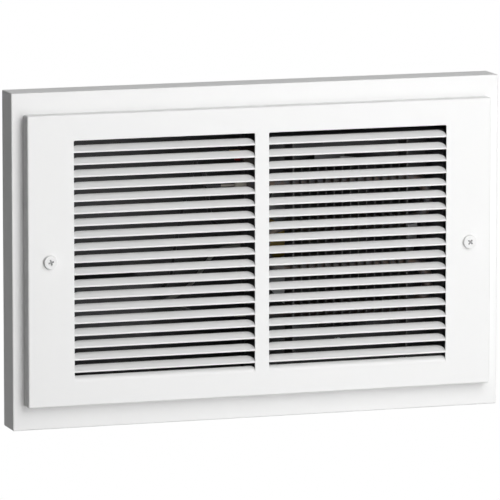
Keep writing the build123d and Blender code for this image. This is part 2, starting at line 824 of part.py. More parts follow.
# Strap behind the orifice that carries the motor, with a foot at each end
leg_z = strap_foot_z - strap_foot / 2
with BuildPart() as motor_strap:
    with BuildSketch(side_plane(fan_x)):
        with Locations((strap_front, 0)):
            Rectangle(strap_sheet, 2 * leg_z, align=(Align.MIN, Align.CENTER))
        for side in (-1, 1):
            with Locations((plate_back, side * (leg_z - strap_sheet / 2))):
                Rectangle(strap_standoff, strap_sheet, align=(Align.MIN, Align.CENTER))
            with Locations((plate_back, side * (leg_z + strap_foot / 2))):
                Rectangle(strap_sheet, strap_foot, align=(Align.MIN, Align.CENTER))
    extrude(amount=strap_width / 2, both=True)
    with BuildSketch(depth_plane(plate_back)):
        with Locations(*strap_foot_spots):
            Circle(small_screw_radius + thread_gap)
    extrude(amount=-strap_sheet, mode=Mode.SUBTRACT)
    with BuildSketch(depth_plane(strap_front)):
        with Locations((fan_x, 0)):
            Circle(bearing_radius + boss_wall + 2 * shank_hole_gap)
        with Locations((fan_x, -motor_screw_offset), (fan_x, motor_screw_offset)):
            Circle(motor_screw_radius + shank_hole_gap)
    extrude(amount=-strap_sheet, mode=Mode.SUBTRACT)
motor_strap.part.label = "motor_strap"
export_step(motor_strap.part, "parts/motor_strap.step")

strap_screw = pan_screw(small_screw_radius, small_head_radius, small_head_height,
                        chassis_sheet + strap_sheet + 2 * small_screw_radius)
with BuildPart() as strap_screws:
    with Locations(*[facing_room(x, plate_front, z) for x, z in strap_foot_spots]):
        add(strap_screw)
strap_screws.part.label = "strap_screws"
export_step(strap_screws.part, "parts/strap_screws.step")


# Shaded-pole motor. Its core reaches to the left of the shaft, to the leg that the coil is on.
bore_radius = rotor_radius + air_gap
window_right = fan_x - bore_radius - bore_wall
window_left = window_right - window_width
leg_left = window_left - leg_width
core_right = fan_x + pole_length
slot_radius = bore_radius + ring_offset
slot_angle = math.radians(shading_angle)
slot_dx = slot_radius * math.cos(slot_angle)
slot_dz = slot_radius * math.sin(slot_angle)
motor_screw_spots = [(fan_x, -motor_screw_offset), (fan_x, motor_screw_offset)]

with BuildPart() as stator_core:
    with BuildSketch(depth_plane(stack_front)):
        with Locations(((leg_left + core_right) / 2, 0)):
            Rectangle(core_right - leg_left, core_height)
        with Locations(((window_left + window_right) / 2, 0)):
            Rectangle(window_width, window_height, mode=Mode.SUBTRACT)
        with Locations((fan_x, 0)):
            Circle(bore_radius, mode=Mode.SUBTRACT)
        with Locations((fan_x - slot_dx, slot_dz), (fan_x + slot_dx, -slot_dz)):
            Circle(ring_wire + thread_gap, mode=Mode.SUBTRACT)
        with Locations(*motor_screw_spots):
            Circle(motor_screw_radius + shank_hole_gap, mode=Mode.SUBTRACT)
    extrude(amount=-stack_depth)
    outer_corners = stator_core.edges().filter_by(Axis.Y).filter_by(GeomType.LINE)
    fillet(outer_corners.group_by(Axis.X)[0] + outer_corners.group_by(Axis.X)[-1], core_corner)
stator_core.part.label = "stator_core"
export_step(stator_core.part, "parts/stator_core.step")

# Copper rings that shade one side of each pole
ring_wire_drawn = ring_wire - thread_gap
ring_reach = ring_wire + ring_gap
left_ring_x = window_right - ring_reach
right_ring_x = core_right + ring_reach
with BuildPart() as shading_rings:
    for side, far_x in ((-1, left_ring_x), (1, right_ring_x)):
        near_x = fan_x + side * slot_dx
        z = -side * slot_dz
        with BuildLine(Plane.XY.offset(z)) as ring_path:
            FilletPolyline((near_x, stack_front - ring_reach), (far_x, stack_front - ring_reach),
                           (far_x, stack_back + ring_reach), (near_x, stack_back + ring_reach),
                           radius=ring_bend, close=True)
        with BuildSketch(Plane(origin=ring_path.wire() @ 0, z_dir=ring_path.wire() % 0)):
            Circle(ring_wire_drawn)
        sweep(path=ring_path.wire())
shading_rings.part.label = "shading_rings"
export_step(shading_rings.part, "parts/shading_rings.step")

# Bobbin on the core's leg, and its taped winding
leg_x = leg_left + leg_width / 2
stack_mid = (stack_front + stack_back) / 2
bobbin_half = window_height / 2 - bobbin_clearance
tube_x = leg_width + 2 * bobbin_clearance
tube_y = stack_depth + 2 * bobbin_clearance
flange_x = tube_x + 2 * (bobbin_sheet + winding_depth)
flange_y = tube_y + 2 * (bobbin_sheet + winding_depth)

with BuildPart() as motor_bobbin:
    with BuildSketch(Plane.XY.offset(-bobbin_half)):
        with Locations((leg_x, stack_mid)):
            Rectangle(tube_x + 2 * bobbin_sheet, tube_y + 2 * bobbin_sheet)
    extrude(amount=2 * bobbin_half)
    with BuildSketch(Plane.XY.offset(-bobbin_half), Plane.XY.offset(bobbin_half - bobbin_flange)):
        with Locations((leg_x, stack_mid)):
            RectangleRounded(flange_x, flange_y, 2 * bobbin_flange)
    extrude(amount=bobbin_flange)
    with BuildSketch(Plane.XY.offset(-bobbin_half)):
        with Locations((leg_x, stack_mid)):
            Rectangle(tube_x, tube_y)
    extrude(amount=2 * bobbin_half, mode=Mode.SUBTRACT)
motor_bobbin.part.label = "motor_bobbin"
export_step(motor_bobbin.part, "parts/motor_bobbin.step")

winding_half = bobbin_half - bobbin_flange
with BuildPart() as motor_winding:
    with BuildSketch(Plane.XY.offset(-winding_half)):
        with Locations((leg_x, stack_mid)):
            RectangleRounded(flange_x - 2 * winding_inset, flange_y - 2 * winding_inset, winding_corner)
            Rectangle(tube_x + 2 * bobbin_sheet, tube_y + 2 * bobbin_sheet, mode=Mode.SUBTRACT)
    extrude(amount=2 * winding_half)
motor_winding.part.label = "motor_winding"
export_step(motor_winding.part, "parts/motor_winding.step")

# Bearing brackets: a bar across the core on two feet, with a boss for the bearing. The
# front one is drawn on its seat, with Z towards the room, and the rear one is the same.
bar_half = core_height / 2 - bar_inset
boss_radius_motor = bearing_radius + boss_wall
with BuildPart() as bearing_bracket:
    with BuildSketch(Plane.YZ):
        with Locations((0, bracket_depth)):
            Rectangle(2 * bar_half, bar_sheet, align=(Align.CENTER, Align.MAX))
        with Locations((-bar_half, 0)):
            Rectangle(bar_foot, bracket_depth, align=(Align.MIN, Align.MIN))
        with Locations((bar_half, 0)):
            Rectangle(bar_foot, bracket_depth, align=(Align.MAX, Align.MIN))
    extrude(amount=bar_width / 2, both=True)
    with BuildSketch(Plane.XY.offset(bracket_depth + boss_rise)):
        Circle(boss_radius_motor)
    extrude(amount=-bearing_length + bearing_proud)
    with BuildSketch(Plane.XY.offset(bracket_depth + boss_rise)):
        Circle(bearing_radius + seat_gap)
        with Locations((0, -motor_screw_offset), (0, motor_screw_offset)):
            Circle(motor_screw_radius + shank_hole_gap)
    extrude(amount=-bracket_depth - boss_rise, mode=Mode.SUBTRACT)

with BuildPart() as front_bearing_bracket:
    with Locations(facing_room(fan_x, stack_front, 0)):
        add(bearing_bracket.part)
front_bearing_bracket.part.label = "front_bearing_bracket"
export_step(front_bearing_bracket.part, "parts/front_bearing_bracket.step")

with BuildPart() as rear_bearing_bracket:
    with Locations(facing_back(fan_x, stack_back, 0)):
        add(bearing_bracket.part)
rear_bearing_bracket.part.label = "rear_bearing_bracket"
export_step(rear_bearing_bracket.part, "parts/rear_bearing_bracket.step")

front_boss = stack_front - bracket_depth - boss_rise
rear_boss = stack_back + bracket_depth + boss_rise
with BuildPart() as front_bearing:
    with BuildSketch(depth_plane(front_boss)):
        with Locations((fan_x, 0)):
            Circle(bearing_radius)
            Circle(shaft_radius + running_gap, mode=Mode.SUBTRACT)
    extrude(amount=-bearing_length)
front_bearing.part.label = "front_bearing"
export_step(front_bearing.part, "parts/front_bearing.step")

with BuildPart() as rear_bearing:
    with BuildSketch(depth_plane(rear_boss - bearing_length)):
        with Locations((fan_x, 0)):
            Circle(bearing_radius)
            Circle(shaft_radius + running_gap, mode=Mode.SUBTRACT)
    extrude(amount=-bearing_length)
rear_bearing.part.label = "rear_bearing"
export_step(rear_bearing.part, "parts/rear_bearing.step")

# Long screws from the back through both brackets, the core and the strap, and their nuts
motor_screw = pan_screw(motor_screw_radius, small_head_radius, small_head_height,
                        motor_back - strap_front + motor_nut_height + motor_screw_end)
with BuildPart() as motor_screws:
    with Locations(*[facing_back(x, motor_back, z) for x, z in motor_screw_spots]):
        add(motor_screw)
motor_screws.part.label = "motor_screws"
export_step(motor_screws.part, "parts/motor_screws.step")

with BuildPart() as motor_nuts:
    with BuildSketch(depth_plane(strap_front)):
        with Locations(*motor_screw_spots):
            RegularPolygon(motor_nut_flats / 2, 6, major_radius=False)
            Circle(motor_screw_radius + thread_gap, mode=Mode.SUBTRACT)
    extrude(amount=motor_nut_height)
motor_nuts.part.label = "motor_nuts"
export_step(motor_nuts.part, "parts/motor_nuts.step")


# What turns: rotor and shaft, fan hub with its set screw, and the fan wheel
fan_front = plate_front - fan_setback
hub_flange_front = fan_front + hub_nose_length
hub_back = hub_flange_front + hub_flange_sheet + hub_barrel_length
shaft_front = fan_front - shaft_nose
with BuildPart() as motor_shaft:
    with BuildSketch(depth_plane(shaft_front)):
        with Locations((fan_x, 0)):
            Circle(shaft_radius)
    extrude(amount=-(rear_boss - shaft_inset - shaft_front))
    chamfer(motor_shaft.edges().filter_by(GeomType.CIRCLE), shaft_chamfer)
motor_shaft.part.label = "motor_shaft"
export_step(motor_shaft.part, "parts/motor_shaft.step")

with BuildPart() as motor_rotor:
    with BuildSketch(depth_plane(stack_front)):
        with Locations((fan_x, 0)):
            Circle(rotor_radius)
    extrude(amount=-stack_depth)
    with BuildSketch(depth_plane(stack_front - end_ring_depth)):
        with Locations((fan_x, 0)):
            Circle(end_ring_radius)
    extrude(amount=-(stack_depth + 2 * end_ring_depth))
    with BuildSketch(depth_plane(stack_front - end_ring_depth)):
        with Locations((fan_x, 0)):
            Circle(shaft_radius + seat_gap)
    extrude(amount=-(stack_depth + 2 * end_ring_depth), mode=Mode.SUBTRACT)
motor_rotor.part.label = "motor_rotor"
export_step(motor_rotor.part, "parts/motor_rotor.step")

set_screw_y = hub_back - hub_barrel_length / 2
with BuildPart() as fan_hub:
    with BuildSketch(depth_plane(fan_front)):
        with Locations((fan_x, 0)):
            Circle(hub_nose_radius)
    extrude(amount=-hub_nose_length)
    with BuildSketch(depth_plane(hub_flange_front)):
        with Locations((fan_x, 0)):
            Circle(hub_flange_radius)
    extrude(amount=-hub_flange_sheet)
    with BuildSketch(depth_plane(hub_flange_front + hub_flange_sheet)):
        with Locations((fan_x, 0)):
            Circle(hub_barrel_radius)
    extrude(amount=-hub_barrel_length)
    with BuildSketch(depth_plane(fan_front)):
        with Locations((fan_x, 0)):
            Circle(shaft_radius + seat_gap)
    extrude(amount=-(hub_back - fan_front), mode=Mode.SUBTRACT)
    with BuildSketch(Plane.XY):
        with Locations((fan_x, set_screw_y)):
            Circle(set_screw_radius + thread_gap)
    extrude(amount=hub_barrel_radius, mode=Mode.SUBTRACT)
fan_hub.part.label = "fan_hub"
export_step(fan_hub.part, "parts/fan_hub.step")

with BuildPart() as fan_set_screw:
    with BuildSketch(Plane.XY.offset(shaft_radius + seat_gap)):
        with Locations((fan_x, set_screw_y)):
            Circle(set_screw_radius)
    extrude(amount=hub_barrel_radius - shaft_radius - 2 * seat_gap)
    with BuildSketch(Plane.XY.offset(hub_barrel_radius)):
        with Locations((fan_x, set_screw_y)):
            RegularPolygon(set_screw_key, 6)
    extrude(amount=-set_screw_radius, mode=Mode.SUBTRACT)
fan_set_screw.part.label = "fan_set_screw"
export_step(fan_set_screw.part, "parts/fan_set_screw.step")


def blade_section(radius, width, angle):
    """A cambered slice across a fan blade, square to the blade's length at this radius."""
    turn = math.radians(angle)
    middle = Plane(origin=(radius, 0, 0), x_dir=(0, math.cos(turn), math.sin(turn)), z_dir=(1, 0, 0))
    with BuildSketch(middle) as section:
        with BuildLine():
            lower = ThreePointArc((-width / 2, 0), (0, blade_camber), (width / 2, 0))
            upper = ThreePointArc((-width / 2, blade_sheet), (0, blade_camber + blade_sheet),
                                  (width / 2, blade_sheet))
            Line(lower @ 0, upper @ 0)
            Line(lower @ 1, upper @ 1)
        make_face()
    return section.sketch


root_section = blade_section(spider_radius - blade_root_overlap, blade_root_width, blade_root_angle)
tip_section = blade_section(fan_radius + blade_tip_overlap, blade_tip_width, blade_tip_angle)
with BuildPart() as fan_blade:
    add(root_section)
    add(tip_section)
    loft()

wheel_back = hub_flange_front
with BuildPart() as fan_wheel:
    with Locations(facing_room(fan_x, wheel_back, 0)):
        Cylinder(spider_radius, blade_sheet, align=(Align.CENTER, Align.CENTER, Align.MIN))
        with PolarLocations(0, blade_count):
            add(fan_blade.part)
    with Locations(facing_room(fan_x, wheel_back, 0)):
        Cylinder(fan_radius, 2 * fan_radius, mode=Mode.INTERSECT)
        Cylinder(hub_nose_radius + seat_gap, 2 * fan_radius, mode=Mode.SUBTRACT)
        Cylinder(hub_flange_radius + hub_flange_gap, fan_radius,
                 align=(Align.CENTER, Align.CENTER, Align.MAX), mode=Mode.SUBTRACT)
fan_wheel.part.label = "fan_wheel"
export_step(fan_wheel.part, "parts/fan_wheel.step")


# Thermal cut-out on the duct's left wall: its cap is in the hot air, its button is outside
flange_left = housing_left - flange_sheet
body_end = flange_left - cutout_length
with BuildPart() as cutout_flange:
    with BuildSketch(side_plane(flange_left)):
        with Locations((cutout_y, cutout_lift)):
            Circle(cap_radius + flange_rim)
            SlotOverall(2 * cutout_ear + cutout_ear_width, cutout_ear_width)
            Circle(cap_radius - flange_step, mode=Mode.SUBTRACT)
        with Locations(*cutout_ear_spots):
            Circle(small_screw_radius + shank_hole_gap, mode=Mode.SUBTRACT)
    extrude(amount=flange_sheet)
cutout_flange.part.label = "cutout_flange"
export_step(cutout_flange.part, "parts/cutout_flange.step")

with BuildPart() as cutout_cap:
    with BuildSketch(side_plane(housing_left)):
        with Locations((cutout_y, cutout_lift)):
            Circle(cap_radius)
    extrude(amount=cap_length)
    fillet(cutout_cap.edges().sort_by(Axis.X)[-1], cutout_round)
cutout_cap.part.label = "cutout_cap"
export_step(cutout_cap.part, "parts/cutout_cap.step")

bore_depth = button_depth + button_travel + button_stop_gap
with BuildPart() as cutout_body:
    with BuildSketch(side_plane(flange_left)):
        with Locations((cutout_y, cutout_lift)):
            Circle(cutout_radius)
    extrude(amount=-cutout_length)
    fillet(cutout_body.edges().sort_by(Axis.X)[0], cutout_round)
    with BuildSketch(side_plane(body_end)):
        with Locations((cutout_y, cutout_lift)):
            Circle(button_radius + button_clearance)
    extrude(amount=bore_depth, mode=Mode.SUBTRACT)
cutout_body.part.label = "cutout_body"
export_step(cutout_body.part, "parts/cutout_body.step")

with BuildPart() as reset_button:
    with BuildSketch(side_plane(body_end + button_depth)):
        with Locations((cutout_y, cutout_lift)):
            Circle(button_radius)
    extrude(amount=-(button_depth + button_proud))
    fillet(reset_button.edges().sort_by(Axis.X)[0], button_round)
reset_button.part.label = "reset_button"
export_step(reset_button.part, "parts/reset_button.step")

# The line blade is above the button and the two load blades are below it
line_tab = (cutout_y, cutout_lift + tab_spacing)
tab_step = (blade_tab_width + tab_gap) / 2
load_tab = (cutout_y - tab_step, cutout_lift - tab_spacing)
fan_tab = (cutout_y + tab_step, cutout_lift - tab_spacing)
with BuildPart() as cutout_terminals:
    with BuildSketch(side_plane(body_end)):
        with Locations(line_tab, load_tab, fan_tab):
            Rectangle(blade_tab_width, blade_tab_sheet)
    extrude(amount=-blade_tab_length)
    chamfer(cutout_terminals.edges().group_by(Axis.X)[0].filter_by(Axis.Z), tab_chamfer)
cutout_terminals.part.label = "cutout_terminals"
export_step(cutout_terminals.part, "parts/cutout_terminals.step")

cutout_screw = pan_screw(small_screw_radius, small_head_radius, small_head_height, cutout_screw_length)
with BuildPart() as cutout_screws:
    with Locations(*[facing_left(flange_left, y, z) for y, z in cutout_ear_spots]):
        add(cutout_screw)
cutout_screws.part.label = "cutout_screws"
export_step(cutout_screws.part, "parts/cutout_screws.step")


# Cover of the wiring compartment: three walls and a tab that is screwed to its boss
lead_y = inner_back - lead_rise
lead_hole_radius = lead_bushing_bore + lead_bushing_wall
with BuildPart() as wiring_cover:
    with BuildSketch(depth_plane(box_front)):
        with Locations((-inner_x + cover_fit, -inner_z + cover_fit)):
            Rectangle(box_width - cover_fit, box_height - cover_fit, align=(Align.MIN, Align.MIN))
    extrude(amount=-(box_depth - cover_fit))
    with BuildSketch(depth_plane(box_front + cover_sheet)):
        with Locations((-inner_x, -inner_z)):
            Rectangle(box_width - cover_sheet, box_height - cover_sheet, align=(Align.MIN, Align.MIN))
    extrude(amount=-box_depth, mode=Mode.SUBTRACT)
    with BuildSketch(depth_plane(boss_seat - cover_sheet)):
        with Locations((box_right - cover_sheet / 2, cover_screw_z)):
            Rectangle(cover_screw_x + cover_tab_reach - box_right, cover_tab_width,
                      align=(Align.MIN, Align.CENTER))
        with Locations((cover_screw_x, cover_screw_z)):
            Circle(small_screw_radius + shank_hole_gap, mode=Mode.SUBTRACT)
    extrude(amount=-cover_sheet)
    with BuildSketch(side_plane(box_right - cover_sheet)):
        with Locations((lead_y, block_z)):
            Circle(lead_hole_radius)
    extrude(amount=cover_sheet, mode=Mode.SUBTRACT)
wiring_cover.part.label = "wiring_cover"
export_step(wiring_cover.part, "parts/wiring_cover.step")

with BuildPart() as cover_screw:
    with Locations(facing_room(cover_screw_x, boss_seat - cover_sheet, cover_screw_z)):
        add(boss_screw)
cover_screw.part.label = "cover_screw"
export_step(cover_screw.part, "parts/cover_screw.step")

with BuildPart() as cover_bushing:
    with BuildSketch(side_plane(box_right)):
        with Locations((lead_y, block_z)):
            Circle(lead_hole_radius + lead_bushing_lip)
    extrude(amount=bushing_sheet)
    with BuildSketch(side_plane(box_right)):
        with Locations((lead_y, block_z)):
            Circle(lead_hole_radius - bushing_fit)
    extrude(amount=-lead_bushing_length)
    with BuildSketch(side_plane(box_right - lead_bushing_length)):
        with Locations((lead_y, block_z)):
            Circle(lead_bushing_bore)
    extrude(amount=lead_bushing_length + bushing_sheet, mode=Mode.SUBTRACT)
cover_bushing.part.label = "cover_bushing"
export_step(cover_bushing.part, "parts/cover_bushing.step")


# Terminal block on the back wall, with its screws and rivets. Line is the upper station.
block_right = block_x + block_width / 2
stations = [block_z + station_rise, block_z - station_rise]
station_screw_spots = [(block_x, block_z + side * block_body / 4) for side in (-1, 1)]
block_face = inner_back - block_depth
tab_face = inner_back - block_tab_depth
well_floor = block_face + block_well_depth
with BuildPart() as terminal_block:
    with BuildSketch(depth_plane(tab_face)):
        with Locations((block_x, block_z)):
            Rectangle(block_tab_width, block_length)
    extrude(amount=-block_tab_depth)
    with BuildSketch(depth_plane(block_face)):
        with Locations((block_x, block_z)):
            Rectangle(block_width, block_body)
    extrude(amount=-block_depth)
    fillet(terminal_block.edges().filter_by(Axis.Y), block_corner)
    with BuildSketch(depth_plane(block_face)):
        with Locations(*station_screw_spots):
            Circle(small_head_radius + block_well_gap)
    extrude(amount=-block_well_depth, mode=Mode.SUBTRACT)
    with BuildSketch(depth_plane(well_floor)):
        with Locations(*station_screw_spots):
            Circle(block_screw_radius + thread_gap)
    extrude(amount=-(tab_face - well_floor), mode=Mode.SUBTRACT)
    with BuildSketch(depth_plane(tab_face)):
        with Locations(*rivet_spots):
            Circle(rivet_radius + thread_gap)
    extrude(amount=-block_tab_depth, mode=Mode.SUBTRACT)
terminal_block.part.label = "terminal_block"
export_step(terminal_block.part, "parts/terminal_block.step")

station_screw = pan_screw(block_screw_radius, small_head_radius, small_head_height, block_tab_depth)
with BuildPart() as terminal_screws:
    with Locations(*[facing_room(x, well_floor, z) for x, z in station_screw_spots]):
        add(station_screw)
terminal_screws.part.label = "terminal_screws"
export_step(terminal_screws.part, "parts/terminal_screws.step")

with BuildPart() as block_rivets:
    with BuildSketch(depth_plane(tab_face)):
        with Locations(*rivet_spots):
            Circle(rivet_radius)
    extrude(amount=-(block_tab_depth + can_sheet))
    with BuildSketch(depth_plane(tab_face)):
        with Locations(*rivet_spots):
            Circle(rivet_head_radius)
    extrude(amount=rivet_head_height)
    fillet(block_rivets.edges().group_by(Axis.Y)[0], rivet_round)
    with BuildSketch(depth_plane(can_back)):
        with Locations(*rivet_spots):
            Circle(rivet_radius + rivet_upset)
    extrude(amount=-rivet_head_height)
block_rivets.part.label = "block_rivets"
export_step(block_rivets.part, "parts/block_rivets.step")


# Internal leads. Each starts square to one terminal and ends square to another.
tab_end = body_end - blade_tab_length
pin_end = pin_start - pin_length
bobbin_left = leg_x - flange_x / 2
neutral_y = lead_y - lead_gap / 2
motor_y = lead_y + lead_gap / 2
rise_x = (box_right + pin_end) / 2 + lead_gap
loop_x = tab_end - lead_loop

supply_lead = lead("supply_lead", [
    (block_right, lead_y, stations[0]),
    (rise_x, lead_y, stations[0]),
    (rise_x - lead_gap, (lead_y + line_tab[0]) / 2, (stations[0] + line_tab[1]) / 2),
    (rise_x, line_tab[0], line_tab[1]),
    (tab_end, line_tab[0], line_tab[1]),
])
supply_lead.part.label = "supply_lead"
export_step(supply_lead.part, "parts/supply_lead.step")

load_lead = lead("load_lead", [
    (tab_end, load_tab[0], load_tab[1]),
    (loop_x, load_tab[0], load_tab[1]),
    (loop_x, element_y, pass_span / 2),
    (pin_end, element_y, pass_span / 2),
])
load_lead.part.label = "load_lead"
export_step(load_lead.part, "parts/load_lead.step")

neutral_lead = lead("neutral_lead", [
    (block_right, neutral_y, stations[1]),
    (rise_x, neutral_y, stations[1]),
    (rise_x, element_y, -pass_span / 2),
    (pin_end, element_y, -pass_span / 2),
])
neutral_lead.part.label = "neutral_lead"
export_step(neutral_lead.part, "parts/neutral_lead.step")

motor_neutral_lead = lead("motor_neutral_lead", [
    (block_right, motor_y, stations[1]),
    (rise_x + 2 * lead_gap, motor_y, stations[1]),
    (plate_left - 2 * lead_gap, stack_mid, -winding_half / 2),
    (bobbin_left, stack_mid, -winding_half / 2),
])
motor_neutral_lead.part.label = "motor_neutral_lead"
export_step(motor_neutral_lead.part, "parts/motor_neutral_lead.step")

motor_load_lead = lead("motor_load_lead", [
    (bobbin_left, stack_mid, winding_half / 2),
    (plate_left - 3 * lead_gap, stack_mid, winding_half / 2),
    (loop_x, fan_tab[0], fan_tab[1]),
    (tab_end, fan_tab[0], fan_tab[1]),
])
motor_load_lead.part.label = "motor_load_lead"
export_step(motor_load_lead.part, "parts/motor_load_lead.step")

print(f"trim frame {trim_width:.1f} x {trim_height:.1f} x {trim_depth:.1f}")
print(f"louvred panel {panel_width:.1f} x {panel_height:.1f}, face at y {panel_face:.1f}")
print(f"can {can_width:.1f} x {can_height:.1f}, from y {can_rim:.1f} to {can_back:.1f}")
print(f"orifice radius {orifice_radius:.2f}, fan radius {fan_radius:.2f}, fan axis at x {fan_x:.2f}")
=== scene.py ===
import json
import math

import bmesh
import bpy
from mathutils import Matrix, Vector


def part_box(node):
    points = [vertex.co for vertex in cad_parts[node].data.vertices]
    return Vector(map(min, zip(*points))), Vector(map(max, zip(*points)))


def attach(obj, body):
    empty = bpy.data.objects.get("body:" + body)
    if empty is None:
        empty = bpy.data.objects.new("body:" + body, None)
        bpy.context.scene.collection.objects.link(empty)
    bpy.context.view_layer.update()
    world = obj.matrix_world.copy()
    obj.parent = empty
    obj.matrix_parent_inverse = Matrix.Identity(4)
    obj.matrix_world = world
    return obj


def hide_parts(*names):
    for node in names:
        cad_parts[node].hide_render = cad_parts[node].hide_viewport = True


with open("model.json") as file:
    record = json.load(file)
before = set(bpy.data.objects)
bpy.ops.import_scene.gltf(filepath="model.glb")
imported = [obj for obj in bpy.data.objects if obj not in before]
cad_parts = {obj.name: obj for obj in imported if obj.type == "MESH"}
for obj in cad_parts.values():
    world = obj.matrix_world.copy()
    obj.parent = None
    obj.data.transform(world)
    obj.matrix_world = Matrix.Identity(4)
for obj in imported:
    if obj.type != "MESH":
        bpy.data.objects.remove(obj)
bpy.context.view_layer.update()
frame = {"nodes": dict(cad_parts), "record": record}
record = frame["record"]

# Camera, from the fit of the trim frame, the panel and the louvres to the photograph
camera_azimuth = -18.0
camera_elevation = 8.667
camera_target = Vector((0.002531, 0.0, -0.002885))
camera_distance = 4.04434
camera_lens = 417.01
sensor_width = 36.0
camera_reach = 100.0

# Studio
floor_drop = 0.50
floor_size = 12.0
floor_fade_start = 0.45
floor_fade_end = 0.80
floor_colour = 0.82
floor_paleness = 0.6
ambient_level = 0.04

# Louvred panel
face_y = -0.0349
panel_sheet = 0.0009
panel_bend = 0.0013
column_width = 0.1303
stile_width = 0.0102
louvre_pitch = 0.008467
slit_count = 20
top_margin = 0.0181
lip_length = 0.0048
louvre_tilt = math.radians(62.0)
window_corner = 0.0010
blade_nose = 0.00095
blade_bend = 0.0007
blade_corner = 0.0050
blade_inset = 0.00005
blade_tie = 0.0004
lip_bend = 0.0019
lip_corner = 0.0026
lip_overlap = 0.0006
lip_inset = -0.00002
edge_break = 0.00012
hole_gap = 0.0003

# Trim frame
trim_sheet = 0.0010
trim_bend = 0.0009
trim_back_bend = 0.0030
trim_lip = 0.0080
mouth_overlap = 0.0040
trim_hole_gap = 0.0009
cut_corner = 0.0005

# Wall can
can_sheet = 0.0010
can_bend = 0.0016
ear_height = 0.0440
ear_reach = 0.0190
ear_bend = 0.0012
ear_corner = 0.0030
ear_relief = 0.0012
ear_hole_gap = 0.0006
knockout_radius = 0.0111
boss_radius = 0.0090
boss_height = 0.0040
boss_draft = 0.0005
rivet_radius = 0.0015
rivet_head = 0.0026
stud_hole_radius = 0.0026
stud_hole_span = 0.1400
stud_hole_setback = 0.0060
weld_radius = 0.0026
weld_slope = 0.0007
weld_depth = 0.00025
weld_count = 5

# Screws: shank radius, head radius and head height. The crown's and the drive's sizes are shares of
# a screw's own head, and the washer is the one under the ground screw's head. A painted screw's drive
# holds painted shade, a dark grey out to drive_shade_reach of the drive's reach and from
# drive_shade_depth of the head's height down.
# Where a node's box is narrower than single_span head radii, it holds one screw across.
grille_screw = (0.0021, 0.0049, 0.0025)
small_screw = (0.00175, 0.0034, 0.0022)
motor_screw = (0.0019, 0.0034, 0.0022)
block_screw = (0.0016, 0.0034, 0.0022)
washer_reach = 0.0016
washer_sheet = 0.0007
crown_radius = 0.88
crown_depth = 0.75
drive_reach = 0.42
drive_slot = 0.12
drive_depth = 0.40
drive_draft = 0.30
drive_shade_reach = 1.05
drive_shade_depth = 0.08
shank_tip = 0.55
single_span = 2.5
thread_pitch = 0.0008
thread_depth = 0.00028
screw_sides = 32
quarter_steps = 5
screw_turn = math.radians(33.0)


# Places that follow from the frame

def box_middle(node):
    """The middle of a node's box across the heater: its x and z."""
    low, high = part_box(node)
    return (low.x + high.x) / 2, (low.z + high.z) / 2


panel_low, panel_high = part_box("grille_panel")
trim_low, trim_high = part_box("trim_frame")
can_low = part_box("can_bottom")[0]
can_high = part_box("can_top")[1]
tube_low, tube_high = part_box("element_tube")
fan_low, fan_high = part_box("fan_hub")
fan_middle = ((fan_low.x + fan_high.x) / 2, 0.0, (fan_low.z + fan_high.z) / 2)
tube_radius = (tube_high.y - tube_low.y) / 2
tube_y = (tube_low.y + tube_high.y) / 2
tube_span = tube_high.z - tube_low.z - 2 * tube_radius
tube_places = [(tube_y, tube_low.z + tube_radius + index * tube_span / 3) for index in range(4)]
boss_spots = [box_middle("ground_screw"), box_middle("cover_screw")]
knock_x, knock_z = boss_spots[0]
knock_y = sum(corner.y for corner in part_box("cable_bushing")) / 2
knock_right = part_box("knockout_plugs")[1].x - knockout_radius
knock_left = 2 * knock_x - knock_right
bracket_low, bracket_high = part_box("upper_bracket")
stud_y = bracket_low.y + stud_hole_setback
screw_low, screw_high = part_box("grille_screws")
screw_x = screw_high.x - grille_screw[1]
panel_middle = (panel_low.z + panel_high.z) / 2
rivet_low, rivet_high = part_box("block_rivets")
rivet_x = (rivet_low.x + rivet_high.x) / 2
column_x = (column_width + stile_width) / 2
first_slit = panel_high.z - top_margin
lip_hinge = first_slit - (slit_count - 1) * louvre_pitch - lip_length


class Signal:
    """A value in a finish's nodes. Python's operators on it add Math nodes."""

    def __init__(self, finish, socket):
        self.finish = finish
        self.socket = socket

    def maths(self, operation, *values):
        return self.finish.add("ShaderNodeMath", {"operation": operation}, dict(enumerate(values)))

    def __add__(self, other):
        return self.maths("ADD", self, other)

    def __radd__(self, other):
        return self.maths("ADD", other, self)

    def __sub__(self, other):
        return self.maths("SUBTRACT", self, other)

    def __rsub__(self, other):
        return self.maths("SUBTRACT", other, self)

    def __mul__(self, other):
        return self.maths("MULTIPLY", self, other)

    def __rmul__(self, other):
        return self.maths("MULTIPLY", other, self)

    def __truediv__(self, other):
        return self.maths("DIVIDE", self, other)

    def __pow__(self, other):
        return self.maths("POWER", self, other)

    def over(self, edge):
        return self.maths("GREATER_THAN", self, edge)

    def fraction(self):
        return self.maths("FRACT", self)

    def size(self):
        return self.maths("ABSOLUTE", self)

    def largest(self, other):
        return self.maths("MAXIMUM", self, other)

    def between(self, start, end):
        """0 below start, 1 above end, and a smooth step from one to the other."""
        return self.finish.add("ShaderNodeMapRange", {"interpolation_type": "SMOOTHSTEP"},
                               {"Value": self, "From Min": start, "From Max": end})


